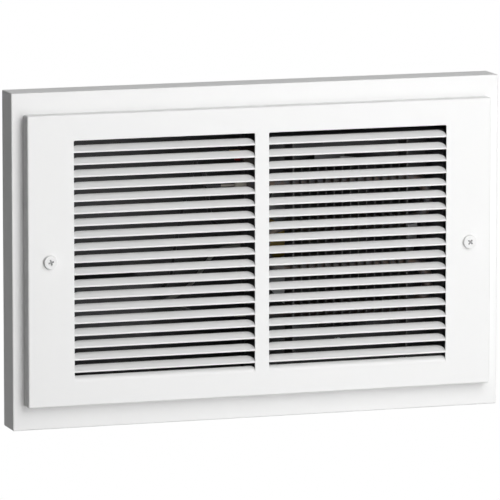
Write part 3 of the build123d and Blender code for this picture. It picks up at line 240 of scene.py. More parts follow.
class Finish:
    """A procedural material: a Principled shader and the nodes that feed it."""

    def __init__(self, name, colour, roughness, metallic=0.0, **constants):
        self.material = bpy.data.materials.new(name)
        self.material.use_nodes = True
        self.tree = self.material.node_tree
        self.shader = self.tree.nodes["Principled BSDF"]
        self.show(Base_Color=(*colour, 1.0), Roughness=roughness, Metallic=metallic, **constants)
        self.place = self.add("ShaderNodeTexCoord", output="Object")

    def feed(self, socket, value):
        if isinstance(value, Signal):
            self.tree.links.new(value.socket, socket)
        else:
            socket.default_value = value

    def add(self, kind, settings=None, values=None, output=0):
        """A node of any type, with its settings made first and then its sockets' values or links."""
        node = self.tree.nodes.new(kind)
        for name, value in (settings or {}).items():
            setattr(node, name, value)
        for name, value in (values or {}).items():
            self.feed(node.inputs[name], value)
        return Signal(self, node.outputs[output])

    def show(self, **inputs):
        """Feeds values to the shader's sockets, such as Base_Color or Roughness."""
        for socket, value in inputs.items():
            self.feed(self.shader.inputs[socket.replace("_", " ")], value)

    def stretched(self, x, y, z):
        """Places scaled along the axes, so that a pattern on them is drawn out along the small ones."""
        return self.add("ShaderNodeMapping", None, {"Vector": self.place, "Scale": (x, y, z)})

    def moved(self, x, y, z):
        """Places seen from a point of the object, as a Texture mapping gives them."""
        return self.add("ShaderNodeMapping", {"vector_type": "TEXTURE"},
                        {"Vector": self.place, "Location": (x, y, z)})

    def axis(self, name, place=None):
        """One coordinate of the places, or one channel of a colour."""
        return self.add("ShaderNodeSeparateXYZ", None, {"Vector": place or self.place}, output=name)

    def noise(self, cell, detail=2.0, roughness=0.5, place=None):
        """Soft noise, about 0.5 in the mean, whose lumps are about as wide as cell, in metres."""
        return self.add("ShaderNodeTexNoise", None, {
            "Vector": place or self.place, "Scale": 1.0 / cell, "Detail": detail, "Roughness": roughness,
        }, output="Fac")

    def warped(self, cell, amount):
        """Places pushed about by a soft noise, so that a pattern on them gets uneven edges."""
        push = self.add("ShaderNodeTexNoise", None, {"Vector": self.place, "Scale": 1.0 / cell},
                        output="Color")
        return self.add("ShaderNodeVectorMath", {"operation": "MULTIPLY_ADD"},
                        {0: push, 1: (amount,) * 3, 2: self.place})

    def cells(self, cell, output="Distance", place=None):
        """Grains about as wide as cell: the distance from each one's middle, or its own colour."""
        return self.add("ShaderNodeTexVoronoi", {"feature": "F1"},
                        {"Vector": place or self.place, "Scale": 1.0 / cell}, output=output)

    def mixed(self, factor, first, second):
        """A colour between two others. The Mix node has its colours at inputs 6 and 7 and output 2."""
        first, second = ((*value, 1.0) if isinstance(value, tuple) else value
                         for value in (first, second))
        return self.add("ShaderNodeMix", {"data_type": "RGBA"}, {0: factor, 6: first, 7: second}, output=2)

    def relief(self, height, depth):
        """Bumps whose height runs from 0 to depth, in metres."""
        self.show(Normal=self.add("ShaderNodeBump", None, {"Height": height, "Distance": depth}))


def shade(colour, factor):
    return tuple(channel * factor for channel in colour)


def hypotenuse(across, along):
    """How far a place is from a point, by its distances from it along two axes."""
    return (across * across + along * along) ** 0.5


# Finishes. Colours are linear, and a noise's first number is the width of its lumps in metres.

# Matt black painted shade on the wall can's inner faces, for the dark seen behind the louvres.
inside_shade_black = (0.050, 0.050, 0.051)
inside_shade_roughness = 0.62
lamination_pitch = 0.0005
facing_step = 0.0004
turning_step = 0.0005
wire_pitch = 0.0006
tape_lap = 0.0065
tint_inner = 0.0045
tint_outer = 0.0095


def powder_coat(name, colour, roughness):
    """White paint, baked on: a fine orange peel and hardly any change of tone."""
    finish = Finish(name, colour, roughness, Specular_IOR_Level=0.15)
    peel = finish.noise(0.0011, detail=1.0) + 0.35 * finish.noise(0.0004, detail=1.0)
    broad = finish.noise(0.06, detail=3.0)
    finish.show(Base_Color=finish.mixed(broad, shade(colour, 0.985), shade(colour, 1.0)),
                Roughness=roughness - 0.05 + 0.08 * finish.noise(0.02, detail=4.0))
    finish.relief(peel, 0.00003)
    return finish.material


def painted_head(name, colour, roughness):
    """White paint on a screw, with dark grey painted shade in the drive recess, and the same grey as bare
    metal on the shank, where no paint is.
    """
    finish = Finish(name, colour, roughness, Specular_IOR_Level=0.25)
    depth = finish.axis("Y") - (screw_low.y + drive_shade_depth * grille_screw[2])
    off_x = finish.axis("X").size() - screw_x
    off_z = finish.axis("Z") - panel_middle
    # Within the drive's reach and below its rim the head gets a dark grey, painted shade for the recess;
    # behind the panel's face the same grey is the shank's bare metal.
    middle = 1.0 - hypotenuse(off_x, off_z).over(drive_shade_reach * drive_reach * grille_screw[1])
    bare = (depth.over(0.0) * middle).largest(finish.axis("Y").over(face_y + edge_break))
    scratch = finish.noise(0.0007, detail=4.0, roughness=0.6)
    finish.show(Base_Color=finish.mixed(bare, finish.mixed(scratch, shade(colour, 0.96), colour),
                                        finish.mixed(scratch, (0.33, 0.33, 0.33), (0.47, 0.47, 0.47))),
                Roughness=roughness + 0.15 * scratch)
    finish.relief(scratch, 0.00002)
    return finish.material


def inside_shade_mask(finish):
    """1 on the inner faces of the wall can, which carry painted shade in matt black, and 0 outside."""
    limits = (("X", can_high.x - can_sheet / 2), ("Z", can_high.z - can_sheet / 2))
    within = 1.0 - finish.axis("Y").over(can_high.y - can_sheet / 2)
    for name, limit in limits:
        within = within * (1.0 - finish.axis(name).size().over(limit))
    for x, z in boss_spots:
        off_axis = hypotenuse(finish.axis("X") - x, finish.axis("Z") - z)
        beside = off_axis.over(boss_radius - can_sheet / 2)
        before = 1.0 - finish.axis("Y").over(can_high.y - boss_height - can_sheet / 2)
        within = within * beside.largest(before)
    return within


def spangled_zinc(name, colour):
    """Hot-dip galvanising: frosty crystals of several tones, with a few pale stains. Painted shade in matt
    black inside.
    """
    finish = Finish(name, colour, 0.48, 0.9)
    warp = finish.noise(0.006, detail=3.0)
    crystal = finish.cells(0.008, output="Color", place=finish.warped(0.003, 0.004))
    tone = finish.axis("X", crystal)
    frost = finish.noise(0.0009, detail=6.0, roughness=0.7, place=finish.warped(0.002, 0.002))
    stain = finish.noise(0.05, detail=5.0, roughness=0.6).between(0.56, 0.72)
    bright = finish.mixed(tone * 0.6 + frost * 0.4, shade(colour, 0.74), shade(colour, 1.14))
    bright = finish.mixed(stain * 0.3, bright, (0.55, 0.56, 0.56))
    # The wall can's inner faces get matt black painted shade, and its outside stays zinc.
    shaded_inside = inside_shade_mask(finish)
    bare = 1.0 - shaded_inside
    zinc_roughness = 0.38 + 0.14 * tone + 0.12 * frost + 0.12 * stain
    finish.show(Base_Color=finish.mixed(shaded_inside, bright, inside_shade_black),
                Roughness=zinc_roughness * bare + inside_shade_roughness * shaded_inside,
                Metallic=(0.9 - 0.4 * stain) * bare)
    finish.relief(0.6 * tone + 0.25 * frost + 0.3 * warp, 0.00005)
    return finish.material


def black_enamel(name, colour):
    """Matt black on sheet steel, painted shade for the dark inside behind the louvres, with a little dust."""
    finish = Finish(name, colour, 0.55, Specular_IOR_Level=0.3)
    dust = finish.noise(0.012, detail=5.0, roughness=0.6)
    grain = finish.noise(0.0006, detail=3.0)
    finish.show(Base_Color=finish.mixed(dust.between(0.5, 0.8) * 0.3, colour, shade(colour, 2.2)),
                Roughness=0.48 + 0.2 * dust)
    finish.relief(grain, 0.00002)
    return finish.material


def rolled_sheet(name, colour, roughness, grain=(1.0, 1.0, 0.04)):
    """Bare or plated sheet with the fine lines of the rolls and a few smudges."""
    finish = Finish(name, colour, roughness, 1.0)
    lines = finish.noise(0.0006, detail=4.0, roughness=0.65, place=finish.stretched(*grain))
    smudge = finish.noise(0.03, detail=4.0, roughness=0.6).between(0.45, 0.75)
    finish.show(Base_Color=finish.mixed(lines, shade(colour, 0.86), shade(colour, 1.06)),
                Roughness=roughness - 0.06 + 0.12 * lines + 0.12 * smudge)
    finish.relief(lines, 0.000012)
    return finish.material


def plated(name, colour, roughness=0.24):
    """Small hardware with a bright plated skin, duller in patches."""
    finish = Finish(name, colour, roughness, 1.0)
    patch = finish.noise(0.0022, detail=4.0, roughness=0.6)
    finish.show(Base_Color=finish.mixed(patch, shade(colour, 0.80), shade(colour, 1.10)),
                Roughness=roughness - 0.06 + 0.22 * patch)
    finish.relief(finish.noise(0.0004, detail=3.0), 0.000015)
    return finish.material


def moulded(name, colour, roughness, speck=0.10):
    """Moulded plastic with a faint texture and flow marks."""
    finish = Finish(name, colour, roughness, Specular_IOR_Level=0.5)
    grain = finish.noise(0.00035, detail=3.0, roughness=0.6)
    flow = finish.noise(0.007, detail=3.0)
    finish.show(Base_Color=finish.mixed(flow * 0.6 + grain * 0.4, shade(colour, 1.0 - speck),
                                        shade(colour, 1.0 + speck)),
                Roughness=roughness - 0.05 + 0.12 * grain)
    finish.relief(grain, 0.00002)
    return finish.material


def cast_metal(name, colour, roughness):
    """Die-cast or sintered metal: a pitted, slightly uneven skin."""
    finish = Finish(name, colour, roughness, 1.0)
    pits = finish.cells(0.0007).between(0.05, 0.45)
    skin = finish.noise(0.004, detail=4.0, roughness=0.6)
    finish.show(Base_Color=finish.mixed(pits * 0.6 + skin * 0.4, shade(colour, 0.70), shade(colour, 1.08)),
                Roughness=roughness + 0.10 * skin - 0.08 * pits)
    finish.relief(pits + 0.5 * skin, 0.00003)
    return finish.material


def laminations(name, colour):
    """The edges of a stack of thin punched sheets."""
    finish = Finish(name, colour, 0.5, 0.85)
    sheet_edge = (finish.axis("Y") / lamination_pitch).fraction() - 0.5
    groove = sheet_edge.size().between(0.34, 0.48)
    varnish = finish.noise(0.003, detail=4.0, roughness=0.6)
    finish.show(Base_Color=finish.mixed(groove, finish.mixed(varnish, shade(colour, 0.8), shade(colour, 1.5)),
                                        shade(colour, 0.25)),
                Roughness=0.38 + 0.3 * varnish)
    finish.relief(1.0 - groove, 0.00006)
    return finish.material


def turned_metal(name, colour, roughness, middle):
    """Metal turned or ground about the fan's axis."""
    finish = Finish(name, colour, roughness, 1.0)
    seen = finish.moved(*middle)
    radius = hypotenuse(finish.axis("X", seen), finish.axis("Z", seen))
    cuts = (radius / facing_step).fraction()
    along = (finish.axis("Y") / turning_step).fraction()
    patches = finish.noise(0.002, detail=3.0)
    finish.show(Base_Color=finish.mixed(patches, shade(colour, 0.85), shade(colour, 1.1)),
                Roughness=roughness + 0.06 * cuts)
    finish.relief(cuts + along, 0.000008)
    return finish.material


def heated_sheath(name, colour):
    """A steel sheath that has been hot: dark scale with brown and blue in it."""
    finish = Finish(name, colour, 0.55, 0.65)
    scale = finish.noise(0.0035, detail=5.0, roughness=0.65)
    tint = finish.noise(0.02, detail=2.0)
    warm = finish.mixed(tint.between(0.35, 0.65), shade(colour, 1.0), (0.12, 0.085, 0.065))
    finish.show(Base_Color=finish.mixed(scale.between(0.35, 0.8), warm, (0.10, 0.11, 0.13)),
                Roughness=0.42 + 0.3 * scale)
    finish.relief(scale, 0.00003)
    return finish.material


def tinted_fin(name, colour, hot_places):
    """Thin steel fins, dark from heat and browner round the hot tube."""
    finish = Finish(name, colour, 0.5, 0.7)
    heat = None
    for y, z in hot_places:
        off_tube = hypotenuse(finish.axis("Y") - y, finish.axis("Z") - z)
        near = 1.0 - off_tube.between(tint_inner, tint_outer)
        heat = heat.largest(near) if heat else near
    mottle = finish.noise(0.002, detail=4.0, roughness=0.6)
    brown = finish.mixed(heat, colour, (0.10, 0.065, 0.04))
    finish.show(Base_Color=finish.mixed(mottle, brown, shade(colour, 0.6)),
                Roughness=0.42 + 0.2 * mottle + 0.1 * heat)
    finish.relief(mottle, 0.000015)
    return finish.material


def steatite(name, colour):
    """Unglazed ceramic with fine dark specks."""
    finish = Finish(name, colour, 0.62, Specular_IOR_Level=0.4)
    speck = 1.0 - finish.cells(0.0009).between(0.10, 0.22)
    cloud = finish.noise(0.004, detail=3.0)
    finish.show(Base_Color=finish.mixed(speck * 0.35, finish.mixed(cloud, shade(colour, 0.94), colour),
                                        (0.24, 0.21, 0.17)),
                Roughness=0.55 + 0.15 * cloud)
    finish.relief(finish.noise(0.0005, detail=4.0), 0.00003)
    return finish.material


def coil_tape(name, colour):
    """Thin yellow tape in overlapping turns, with the wire's ribs under it."""
    finish = Finish(name, colour, 0.28, Coat_Weight=0.4, Coat_Roughness=0.2)
    up = finish.axis("Z")
    ribs = ((up / wire_pitch).fraction() - 0.5).size()
    lap = (up / tape_lap).fraction().between(0.93, 0.99)
    wrinkle = finish.noise(0.002, detail=4.0, roughness=0.6, place=finish.stretched(0.3, 0.3, 1.0))
    finish.show(Base_Color=finish.mixed(lap * 0.5 + wrinkle * 0.3, colour, shade(colour, 0.6)),
                Roughness=0.22 + 0.2 * wrinkle)
    finish.relief(ribs * 0.25 + lap + wrinkle * 0.8, 0.00008)
    return finish.material


def insulation(name, colour):
    """Soft silicone on a lead: matt, dusty and a little uneven."""
    finish = Finish(name, colour, 0.5, Specular_IOR_Level=0.4, Sheen_Weight=0.15)
    dust = finish.noise(0.0025, detail=4.0, roughness=0.6)
    finish.show(Base_Color=finish.mixed(dust.between(0.5, 0.9) * 0.25, colour, (0.35, 0.34, 0.32)),
                Roughness=0.40 + 0.22 * dust)
    finish.relief(finish.noise(0.0009, detail=3.0), 0.00004)
    return finish.material


white = (0.87, 0.87, 0.867)
zinc = (0.40, 0.41, 0.42)
finishes = {
    "painted_trim": powder_coat("painted_trim", white, 0.42),
    "painted_panel": powder_coat("painted_panel", white, 0.42),
    "painted_screw": painted_head("painted_screw", shade(white, 0.97), 0.38),
    "galvanised": spangled_zinc("galvanised", zinc),
    # chassis_steel is a darker grey than plated sheet, as painted shade for the parts that show through the
    # louvre gaps.
    "chassis_steel": rolled_sheet("chassis_steel", (0.19, 0.193, 0.197), 0.55),
    "zinc_screw": plated("zinc_screw", (0.66, 0.67, 0.69)),
    "spring_steel": moulded("spring_steel", (0.028, 0.028, 0.031), 0.42),
    "black_nylon": moulded("black_nylon", (0.022, 0.022, 0.023), 0.52),
    "ground_green": plated("ground_green", (0.03, 0.20, 0.07), 0.34),
    "element_sheath": heated_sheath("element_sheath", (0.085, 0.075, 0.070)),
    # black_enamel's black is painted shade: it makes the parts inside the can read as the dark seen through
    # the louvres.
    "black_enamel": black_enamel("black_enamel", (0.055, 0.055, 0.057)),
    "element_fin": tinted_fin("element_fin", (0.10, 0.098, 0.095), tube_places),
    "ceramic": steatite("ceramic", (0.46, 0.43, 0.37)),
    "terminal_pin": plated("terminal_pin", (0.20, 0.185, 0.165), 0.42),
    "core_lamination": laminations("core_lamination", (0.11, 0.115, 0.13)),
    "copper": plated("copper", (0.70, 0.33, 0.18), 0.28),
    "bobbin": moulded("bobbin", (0.68, 0.63, 0.50), 0.45, 0.05),
    "coil_tape": coil_tape("coil_tape", (0.42, 0.27, 0.035)),
    "motor_bracket": cast_metal("motor_bracket", (0.54, 0.55, 0.56), 0.42),
    "bearing_bronze": cast_metal("bearing_bronze", (0.46, 0.29, 0.12), 0.36),
    "rotor": turned_metal("rotor", (0.33, 0.33, 0.34), 0.34, fan_middle),
    "shaft_steel": turned_metal("shaft_steel", (0.62, 0.63, 0.65), 0.18, fan_middle),
    "fan_aluminium": rolled_sheet("fan_aluminium", (0.33, 0.335, 0.34), 0.50, (0.05, 1.0, 1.0)),
    "phenolic": moulded("phenolic", (0.030, 0.020, 0.015), 0.30, 0.25),
    "button_red": moulded("button_red", (0.30, 0.012, 0.010), 0.35, 0.05),
    "terminal_black": moulded("terminal_black", (0.030, 0.030, 0.033), 0.45),
    "brass_screw": plated("brass_screw", (0.28, 0.20, 0.10), 0.40),
    "lead_black": insulation("lead_black", (0.016, 0.016, 0.017)),
    "lead_white": insulation("lead_white", (0.32, 0.316, 0.30)),
}
for row in record["subparts"]:
    mesh = frame["nodes"][row["node"]].data
    mesh.materials.clear()
    mesh.materials.append(finishes[row["material_slot"]])

# Points nearer than this are one point, and edges sharper than this are shaded as sharp
merge_distance = 1e-7
shading_break = math.radians(40.0)


def piece(name, shape, slot, body="heater", replaced=()):
    """Makes a finished bmesh an object that rides on a body and may stand for CAD nodes."""
    bmesh.ops.remove_doubles(shape, verts=shape.verts, dist=merge_distance)
    mesh = bpy.data.meshes.new(name)
    shape.to_mesh(mesh)
    shape.free()
    mesh.shade_smooth()
    mesh.set_sharp_from_angle(angle=shading_break)
    mesh.materials.append(finishes[slot])
    made = bpy.data.objects.new(name, mesh)
    bpy.context.scene.collection.objects.link(made)
    even = made.modifiers.new("even_shading", "WEIGHTED_NORMAL")
    even.keep_sharp = True
    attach(made, body)
    if replaced:
        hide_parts(*replaced)
    return made


# Sheet metal

# Lengths below these count as none. A patch keeps a margin to the cuts about it, and its corners take
# up at most half_side of its shorter side. Corner points that then lie too close are merged.
small = 1e-6
corner_reach = 10 * small
patch_margin = 0.0006
half_side = 0.4995
merge_share = 0.003
merge_most = 0.00005

# Edges sharper than cut_edge are a sheet's cut edges. In the trim frame's block, those sharper than
# soft_edge become its bends.
cut_edge = math.radians(60)
soft_edge = math.radians(30)


def bevel(shape, geometry, offset, segments, affect="EDGES"):
    return bmesh.ops.bevel(shape, geom=geometry, offset=offset, offset_type="OFFSET", affect=affect,
                           segments=segments, profile=0.5, material=-1)


def box_shape(low, high):
    shape = bmesh.new()
    bmesh.ops.create_cube(shape, size=1.0)
    bmesh.ops.scale(shape, vec=high - low, verts=shape.verts)
    bmesh.ops.translate(shape, vec=(low + high) / 2, verts=shape.verts)
    return shape


def in_box(point, low, high):
    return all(a - small <= value <= b + small for a, value, b in zip(low, point, high))


def on_plane(item, axis, value):
    """True of an edge or a face that lies in the plane across an axis at a value."""
    return all(abs(vert.co[axis] - value) < small for vert in item.verts)


def delete_faces(shape, faces):
    bmesh.ops.delete(shape, geom=faces, context="FACES")


def overlaps(face, low, high):
    """True of a face in the wall of a flat patch that shares some of its area."""
    for axis in range(3):
        values = [vert.co[axis] for vert in face.verts]
        if high[axis] - low[axis] < small:
            if not on_plane(face, axis, low[axis]):
                return False
        elif min(values) > high[axis] - small or max(values) < low[axis] + small:
            return False
    return True


def score(shape, low, high):
    """Cuts a wall along the sides of a rectangle and gives back the faces inside it."""
    for axis in range(3):
        if high[axis] - low[axis] < small:
            continue
        for point in (low, high):
            under = [face for face in shape.faces if overlaps(face, low, high)]
            edges = {edge for face in under for edge in face.edges}
            verts = {vert for face in under for vert in face.verts}
            bmesh.ops.bisect_plane(shape, geom=[*verts, *edges, *under], dist=merge_distance,
                                   plane_co=point, plane_no=[float(axis == other) for other in range(3)])
    return [face for face in shape.faces if all(in_box(vert.co, low, high) for vert in face.verts)]


def patch(shape, low, high, corner, segments=4):
    """Marks out a round-cornered patch of a flat wall and gives back its face."""
    across = [axis for axis in range(3) if high[axis] - low[axis] > small]
    grow = Vector([patch_margin if axis in across else 0.0 for axis in range(3)])
    middle = (low + high) / 2
    covered = score(shape, low - grow, high + grow)
    if len(covered) > 1:
        bmesh.ops.dissolve_faces(shape, faces=covered)

    def nearest():
        return min(shape.faces, key=lambda face: (face.calc_center_bounds() - middle).length)

    def is_corner(vert):
        return all(min(abs(vert.co[way] - low[way]), abs(vert.co[way] - high[way])) < corner_reach
                   for way in across)

    bmesh.ops.inset_individual(shape, faces=[nearest()], thickness=patch_margin, use_even_offset=True)
    between = [vert for vert in nearest().verts if not is_corner(vert)]
    if between:
        bmesh.ops.dissolve_verts(shape, verts=between)
    shortest = min(high[way] - low[way] for way in across)
    corners = [vert for vert in nearest().verts if is_corner(vert)]
    bevel(shape, corners, min(corner, half_side * shortest), segments, affect="VERTICES")
    bmesh.ops.remove_doubles(shape, verts=nearest().verts, dist=min(merge_share * shortest, merge_most))
    return nearest()


def disc(shape, middle, radius, flat, segments=5):
    """Marks out a round patch on the wall that is flat across an axis, and gives back its face."""
    reach = Vector([0.0 if axis == flat else radius for axis in range(3)])
    return patch(shape, Vector(middle) - reach, Vector(middle) + reach, radius, segments)


def hole(shape, middle, radius, flat, segments=5):
    delete_faces(shape, [disc(shape, middle, radius, flat, segments)])


def press(shape, middle, radius, flat, slope, depth, segments=4):
    """Presses a round place of a wall in."""
    face = disc(shape, middle, radius, flat, segments)
    bmesh.ops.inset_individual(shape, faces=[face], thickness=slope, depth=-depth, use_even_offset=True)


def sharp_edges(shape, over):
    return [edge for edge in shape.edges if edge.is_manifold and edge.calc_face_angle() > over]


def thicken(shape, sheet):
    """Gives a shell of outer faces its wall, inwards, and takes the sharpness off its cut edges."""
    shape.normal_update()
    bmesh.ops.solidify(shape, geom=shape.faces[:], thickness=sheet)
    bevel(shape, sharp_edges(shape, cut_edge), edge_break, segments=1)


def joined(shapes):
    """One bmesh from several."""
    whole = bmesh.new()
    for shape in shapes:
        mesh = bpy.data.meshes.new("joining")
        shape.to_mesh(mesh)
        shape.free()
        whole.from_mesh(mesh)
        bpy.data.meshes.remove(mesh)
    return whole


# Louvred panel

def pan_shell(low, high, bend):
    """A shallow pan, open at the back, with its front edges and its corners rounded."""
    shape = box_shape(low, high)
    bevel(shape, [edge for edge in shape.edges if not on_plane(edge, 1, high.y)], bend, segments=5)
    delete_faces(shape, [face for face in shape.faces if on_plane(face, 1, high.y)])
    return shape


def blade(middle_x, z, length, nose=blade_nose, bend=blade_bend, corner=blade_corner,
          inset=blade_inset):
    """A louvre blade: a flat nose in the panel's face, a bend, and a leaf that leans back."""
    half = column_width / 2 + blade_tie
    front = face_y + inset
    leaf_y = front + length * math.sin(louvre_tilt)
    leaf_z = z + length * math.cos(louvre_tilt)
    shape = bmesh.new()
    left, right = (
        [shape.verts.new((middle_x + side * half, y, height))
         for y, height in ((front, z - nose), (front, z), (leaf_y, leaf_z))]
        for side in (-1, 1)
    )
    for lower in (0, 1):
        shape.faces.new((left[lower], right[lower], right[lower + 1], left[lower + 1]))
    bevel(shape, [left[2], right[2]], corner, segments=7, affect="VERTICES")
    fold = [edge for edge in shape.edges if len(edge.link_faces) == 2]
    bevel(shape, fold, bend, segments=6)
    shape.normal_update()
    bmesh.ops.solidify(shape, geom=shape.faces[:], thickness=panel_sheet)
    return shape


def louvred_panel():
    """The painted pan with its two windows, and the blades and lips that were pressed out of them."""
    pan = pan_shell(panel_low, panel_high, panel_bend)
    for side in (-1, 1):
        middle = side * column_x
        window = patch(pan, Vector((middle - column_width / 2, face_y, lip_hinge - lip_bend)),
                       Vector((middle + column_width / 2, face_y, first_slit)), window_corner)
        delete_faces(pan, [window])
        hole(pan, (side * screw_x, face_y, panel_middle), grille_screw[0] + hole_gap, 1)
    thicken(pan, panel_sheet)
    blades = []
    for side in (-1, 1):
        for row in range(1, slit_count):
            fold_z = first_slit - row * louvre_pitch + blade_nose
            blades.append(blade(side * column_x, fold_z, louvre_pitch - blade_nose))
        blades.append(blade(side * column_x, lip_hinge, lip_length, lip_bend + lip_overlap, lip_bend,
                            lip_corner, lip_inset))
    for leaf in blades:
        bevel(leaf, sharp_edges(leaf, cut_edge), edge_break, segments=1)
    return joined([pan, *blades])


piece("louvred_panel", louvred_panel(), "painted_panel", replaced=["grille_panel"])


# Trim frame

def trim_surround():
    """A deep frame with a flange in front, rolled over into a lip that lies on the wall."""
    shape = box_shape(trim_low, trim_high)
    back = [edge for edge in shape.edges if on_plane(edge, 1, trim_high.y)]
    bevel(shape, back, trim_back_bend, segments=8)
    bevel(shape, sharp_edges(shape, soft_edge), trim_bend, segments=5)
    inset = Vector((trim_lip, 0.0, trim_lip))
    lip_low = Vector((trim_low.x, trim_high.y, trim_low.z)) + inset
    overlap = Vector((mouth_overlap, 0.0, mouth_overlap))
    mouth_low = Vector((can_low.x, trim_low.y, can_low.z)) + overlap
    mouth_high = Vector((can_high.x, trim_low.y, can_high.z)) - overlap
    delete_faces(shape, [patch(shape, lip_low, trim_high - inset, cut_corner)])
    delete_faces(shape, [patch(shape, mouth_low, mouth_high, cut_corner)])
    for side in (-1, 1):
        hole(shape, (side * screw_x, trim_low.y, panel_middle), grille_screw[0] + trim_hole_gap, 1)
    thicken(shape, trim_sheet)
    return shape


piece("trim_surround", trim_surround(), "painted_trim", replaced=["trim_frame"])


# Wall can

def fold_ear(shape, side):
    """Folds a tab out of the front edge of a side wall, with a hole for the grille screw."""
    wall_x = side * can_high.x
    root_y = can_low.y + can_sheet
    bottom = panel_middle - ear_height / 2
    top = panel_middle + ear_height / 2
    cuts = [(bottom - ear_relief, bottom, root_y + 2 * ear_bend), (bottom, top, root_y),
            (top, top + ear_relief, root_y + 2 * ear_bend)]
    for low_z, high_z, depth in cuts:
        delete_faces(shape, score(shape, Vector((wall_x, can_low.y, low_z)), Vector((wall_x, depth, high_z))))
    fold = [edge for edge in shape.edges
            if on_plane(edge, 1, root_y) and on_plane(edge, 0, wall_x)
            and all(in_box(vert.co, (wall_x, root_y, bottom), (wall_x, root_y, top)) for vert in edge.verts)]
    tab = bmesh.ops.extrude_edge_only(shape, edges=fold)["geom"]
    ends = [item for item in tab if isinstance(item, bmesh.types.BMVert)]
    bmesh.ops.translate(shape, vec=(side * ear_reach, 0, 0), verts=ends)
    shape.normal_update()
    faces = [item for item in tab if isinstance(item, bmesh.types.BMFace)]
    bmesh.ops.reverse_faces(shape, faces=[face for face in faces if face.normal.y < 0])
    outer = [vert for vert in ends if abs(vert.co.z - bottom) < small or abs(vert.co.z - top) < small]
    bevel(shape, outer, ear_corner, segments=4, affect="VERTICES")
    bevel(shape, [edge for edge in fold if edge.is_valid], ear_bend, segments=4)
    hole(shape, (side * screw_x, root_y, panel_middle), grille_screw[0] + ear_hole_gap, 1)


def can_block(low, high):
    """A block whose two upright edges at the back are rounded as the wrapper is folded."""
    shape = box_shape(low, high)
    corners = [edge for edge in shape.edges
               if on_plane(edge, 1, high.y) and abs(edge.verts[0].co.z - edge.verts[1].co.z) > small]
    bevel(shape, corners, can_bend, segments=6)
    return shape


def can_wrapper_sheet():
    """The can's two sides and its back in one folded sheet, with its ears, bosses and holes."""
    low = can_low + Vector((0, 0, can_sheet))
    high = can_high - Vector((0, 0, can_sheet))
    shape = can_block(low, high)
    open_sides = ((1, low.y), (2, low.z), (2, high.z))
    delete_faces(shape, [face for face in shape.faces
                         if any(on_plane(face, axis, value) for axis, value in open_sides)])
    for side in (-1, 1):
        fold_ear(shape, side)
        for z in (-stud_hole_span / 2, stud_hole_span / 2):
            hole(shape, (side * high.x, stud_y, z), stud_hole_radius, 0)
    hole(shape, (low.x, knock_y, knock_z), knockout_radius, 0, segments=8)
    for x in (knock_left, knock_right):
        hole(shape, (x, high.y, knock_z), knockout_radius, 1, segments=8)
    for x, z in boss_spots:
        press(shape, (x, high.y, z), boss_radius - can_sheet, 1, boss_draft, boss_height, segments=8)
        hole(shape, (x, high.y - boss_height, z), small_screw[0], 1)
    for z in (rivet_low.z + rivet_head, rivet_high.z - rivet_head):
        hole(shape, (rivet_x, high.y, z), rivet_radius, 1)
    thicken(shape, can_sheet)
    return shape


def can_cap(side):
    """The can's top or bottom sheet, with the dimples of the spot welds that hold a bracket."""
    outer_z = can_high.z if side > 0 else can_low.z
    shape = can_block(can_low, can_high)
    delete_faces(shape, [face for face in shape.faces if not on_plane(face, 2, outer_z)])
    span = bracket_high.x - bracket_low.x
    for index in range(weld_count):
        x = bracket_low.x + span * (index + 0.5) / weld_count
        press(shape, (x, (bracket_low.y + bracket_high.y) / 2, outer_z), weld_radius, 2, weld_slope,
              weld_depth)
    if side < 0:
        hole(shape, (knock_x, knock_y, outer_z), knockout_radius, 2, segments=8)
    thicken(shape, can_sheet)
    return shape


piece("can_wrapper_sheet", can_wrapper_sheet(), "galvanised", replaced=["can_wrapper"])
piece("can_top_sheet", can_cap(1), "galvanised", replaced=["can_top"])
piece("can_bottom_sheet", can_cap(-1), "galvanised", replaced=["can_bottom"])


# Screws

def ring_on(shape, rim, radius, step):
    """Extrudes a round rim to a new radius and along its axis, and gives back the new rim."""
    reach = rim[0].verts[0].co.xy.length
    made = bmesh.ops.extrude_edge_only(shape, edges=rim)["geom"]
    verts = [item for item in made if isinstance(item, bmesh.types.BMVert)]
    grow = radius / reach
    bmesh.ops.scale(shape, vec=(grow, grow, 1.0), verts=verts)
    bmesh.ops.translate(shape, vec=(0, 0, step), verts=verts)
    return [item for item in made if isinstance(item, bmesh.types.BMEdge)
            and all(vert in verts for vert in item.verts)]


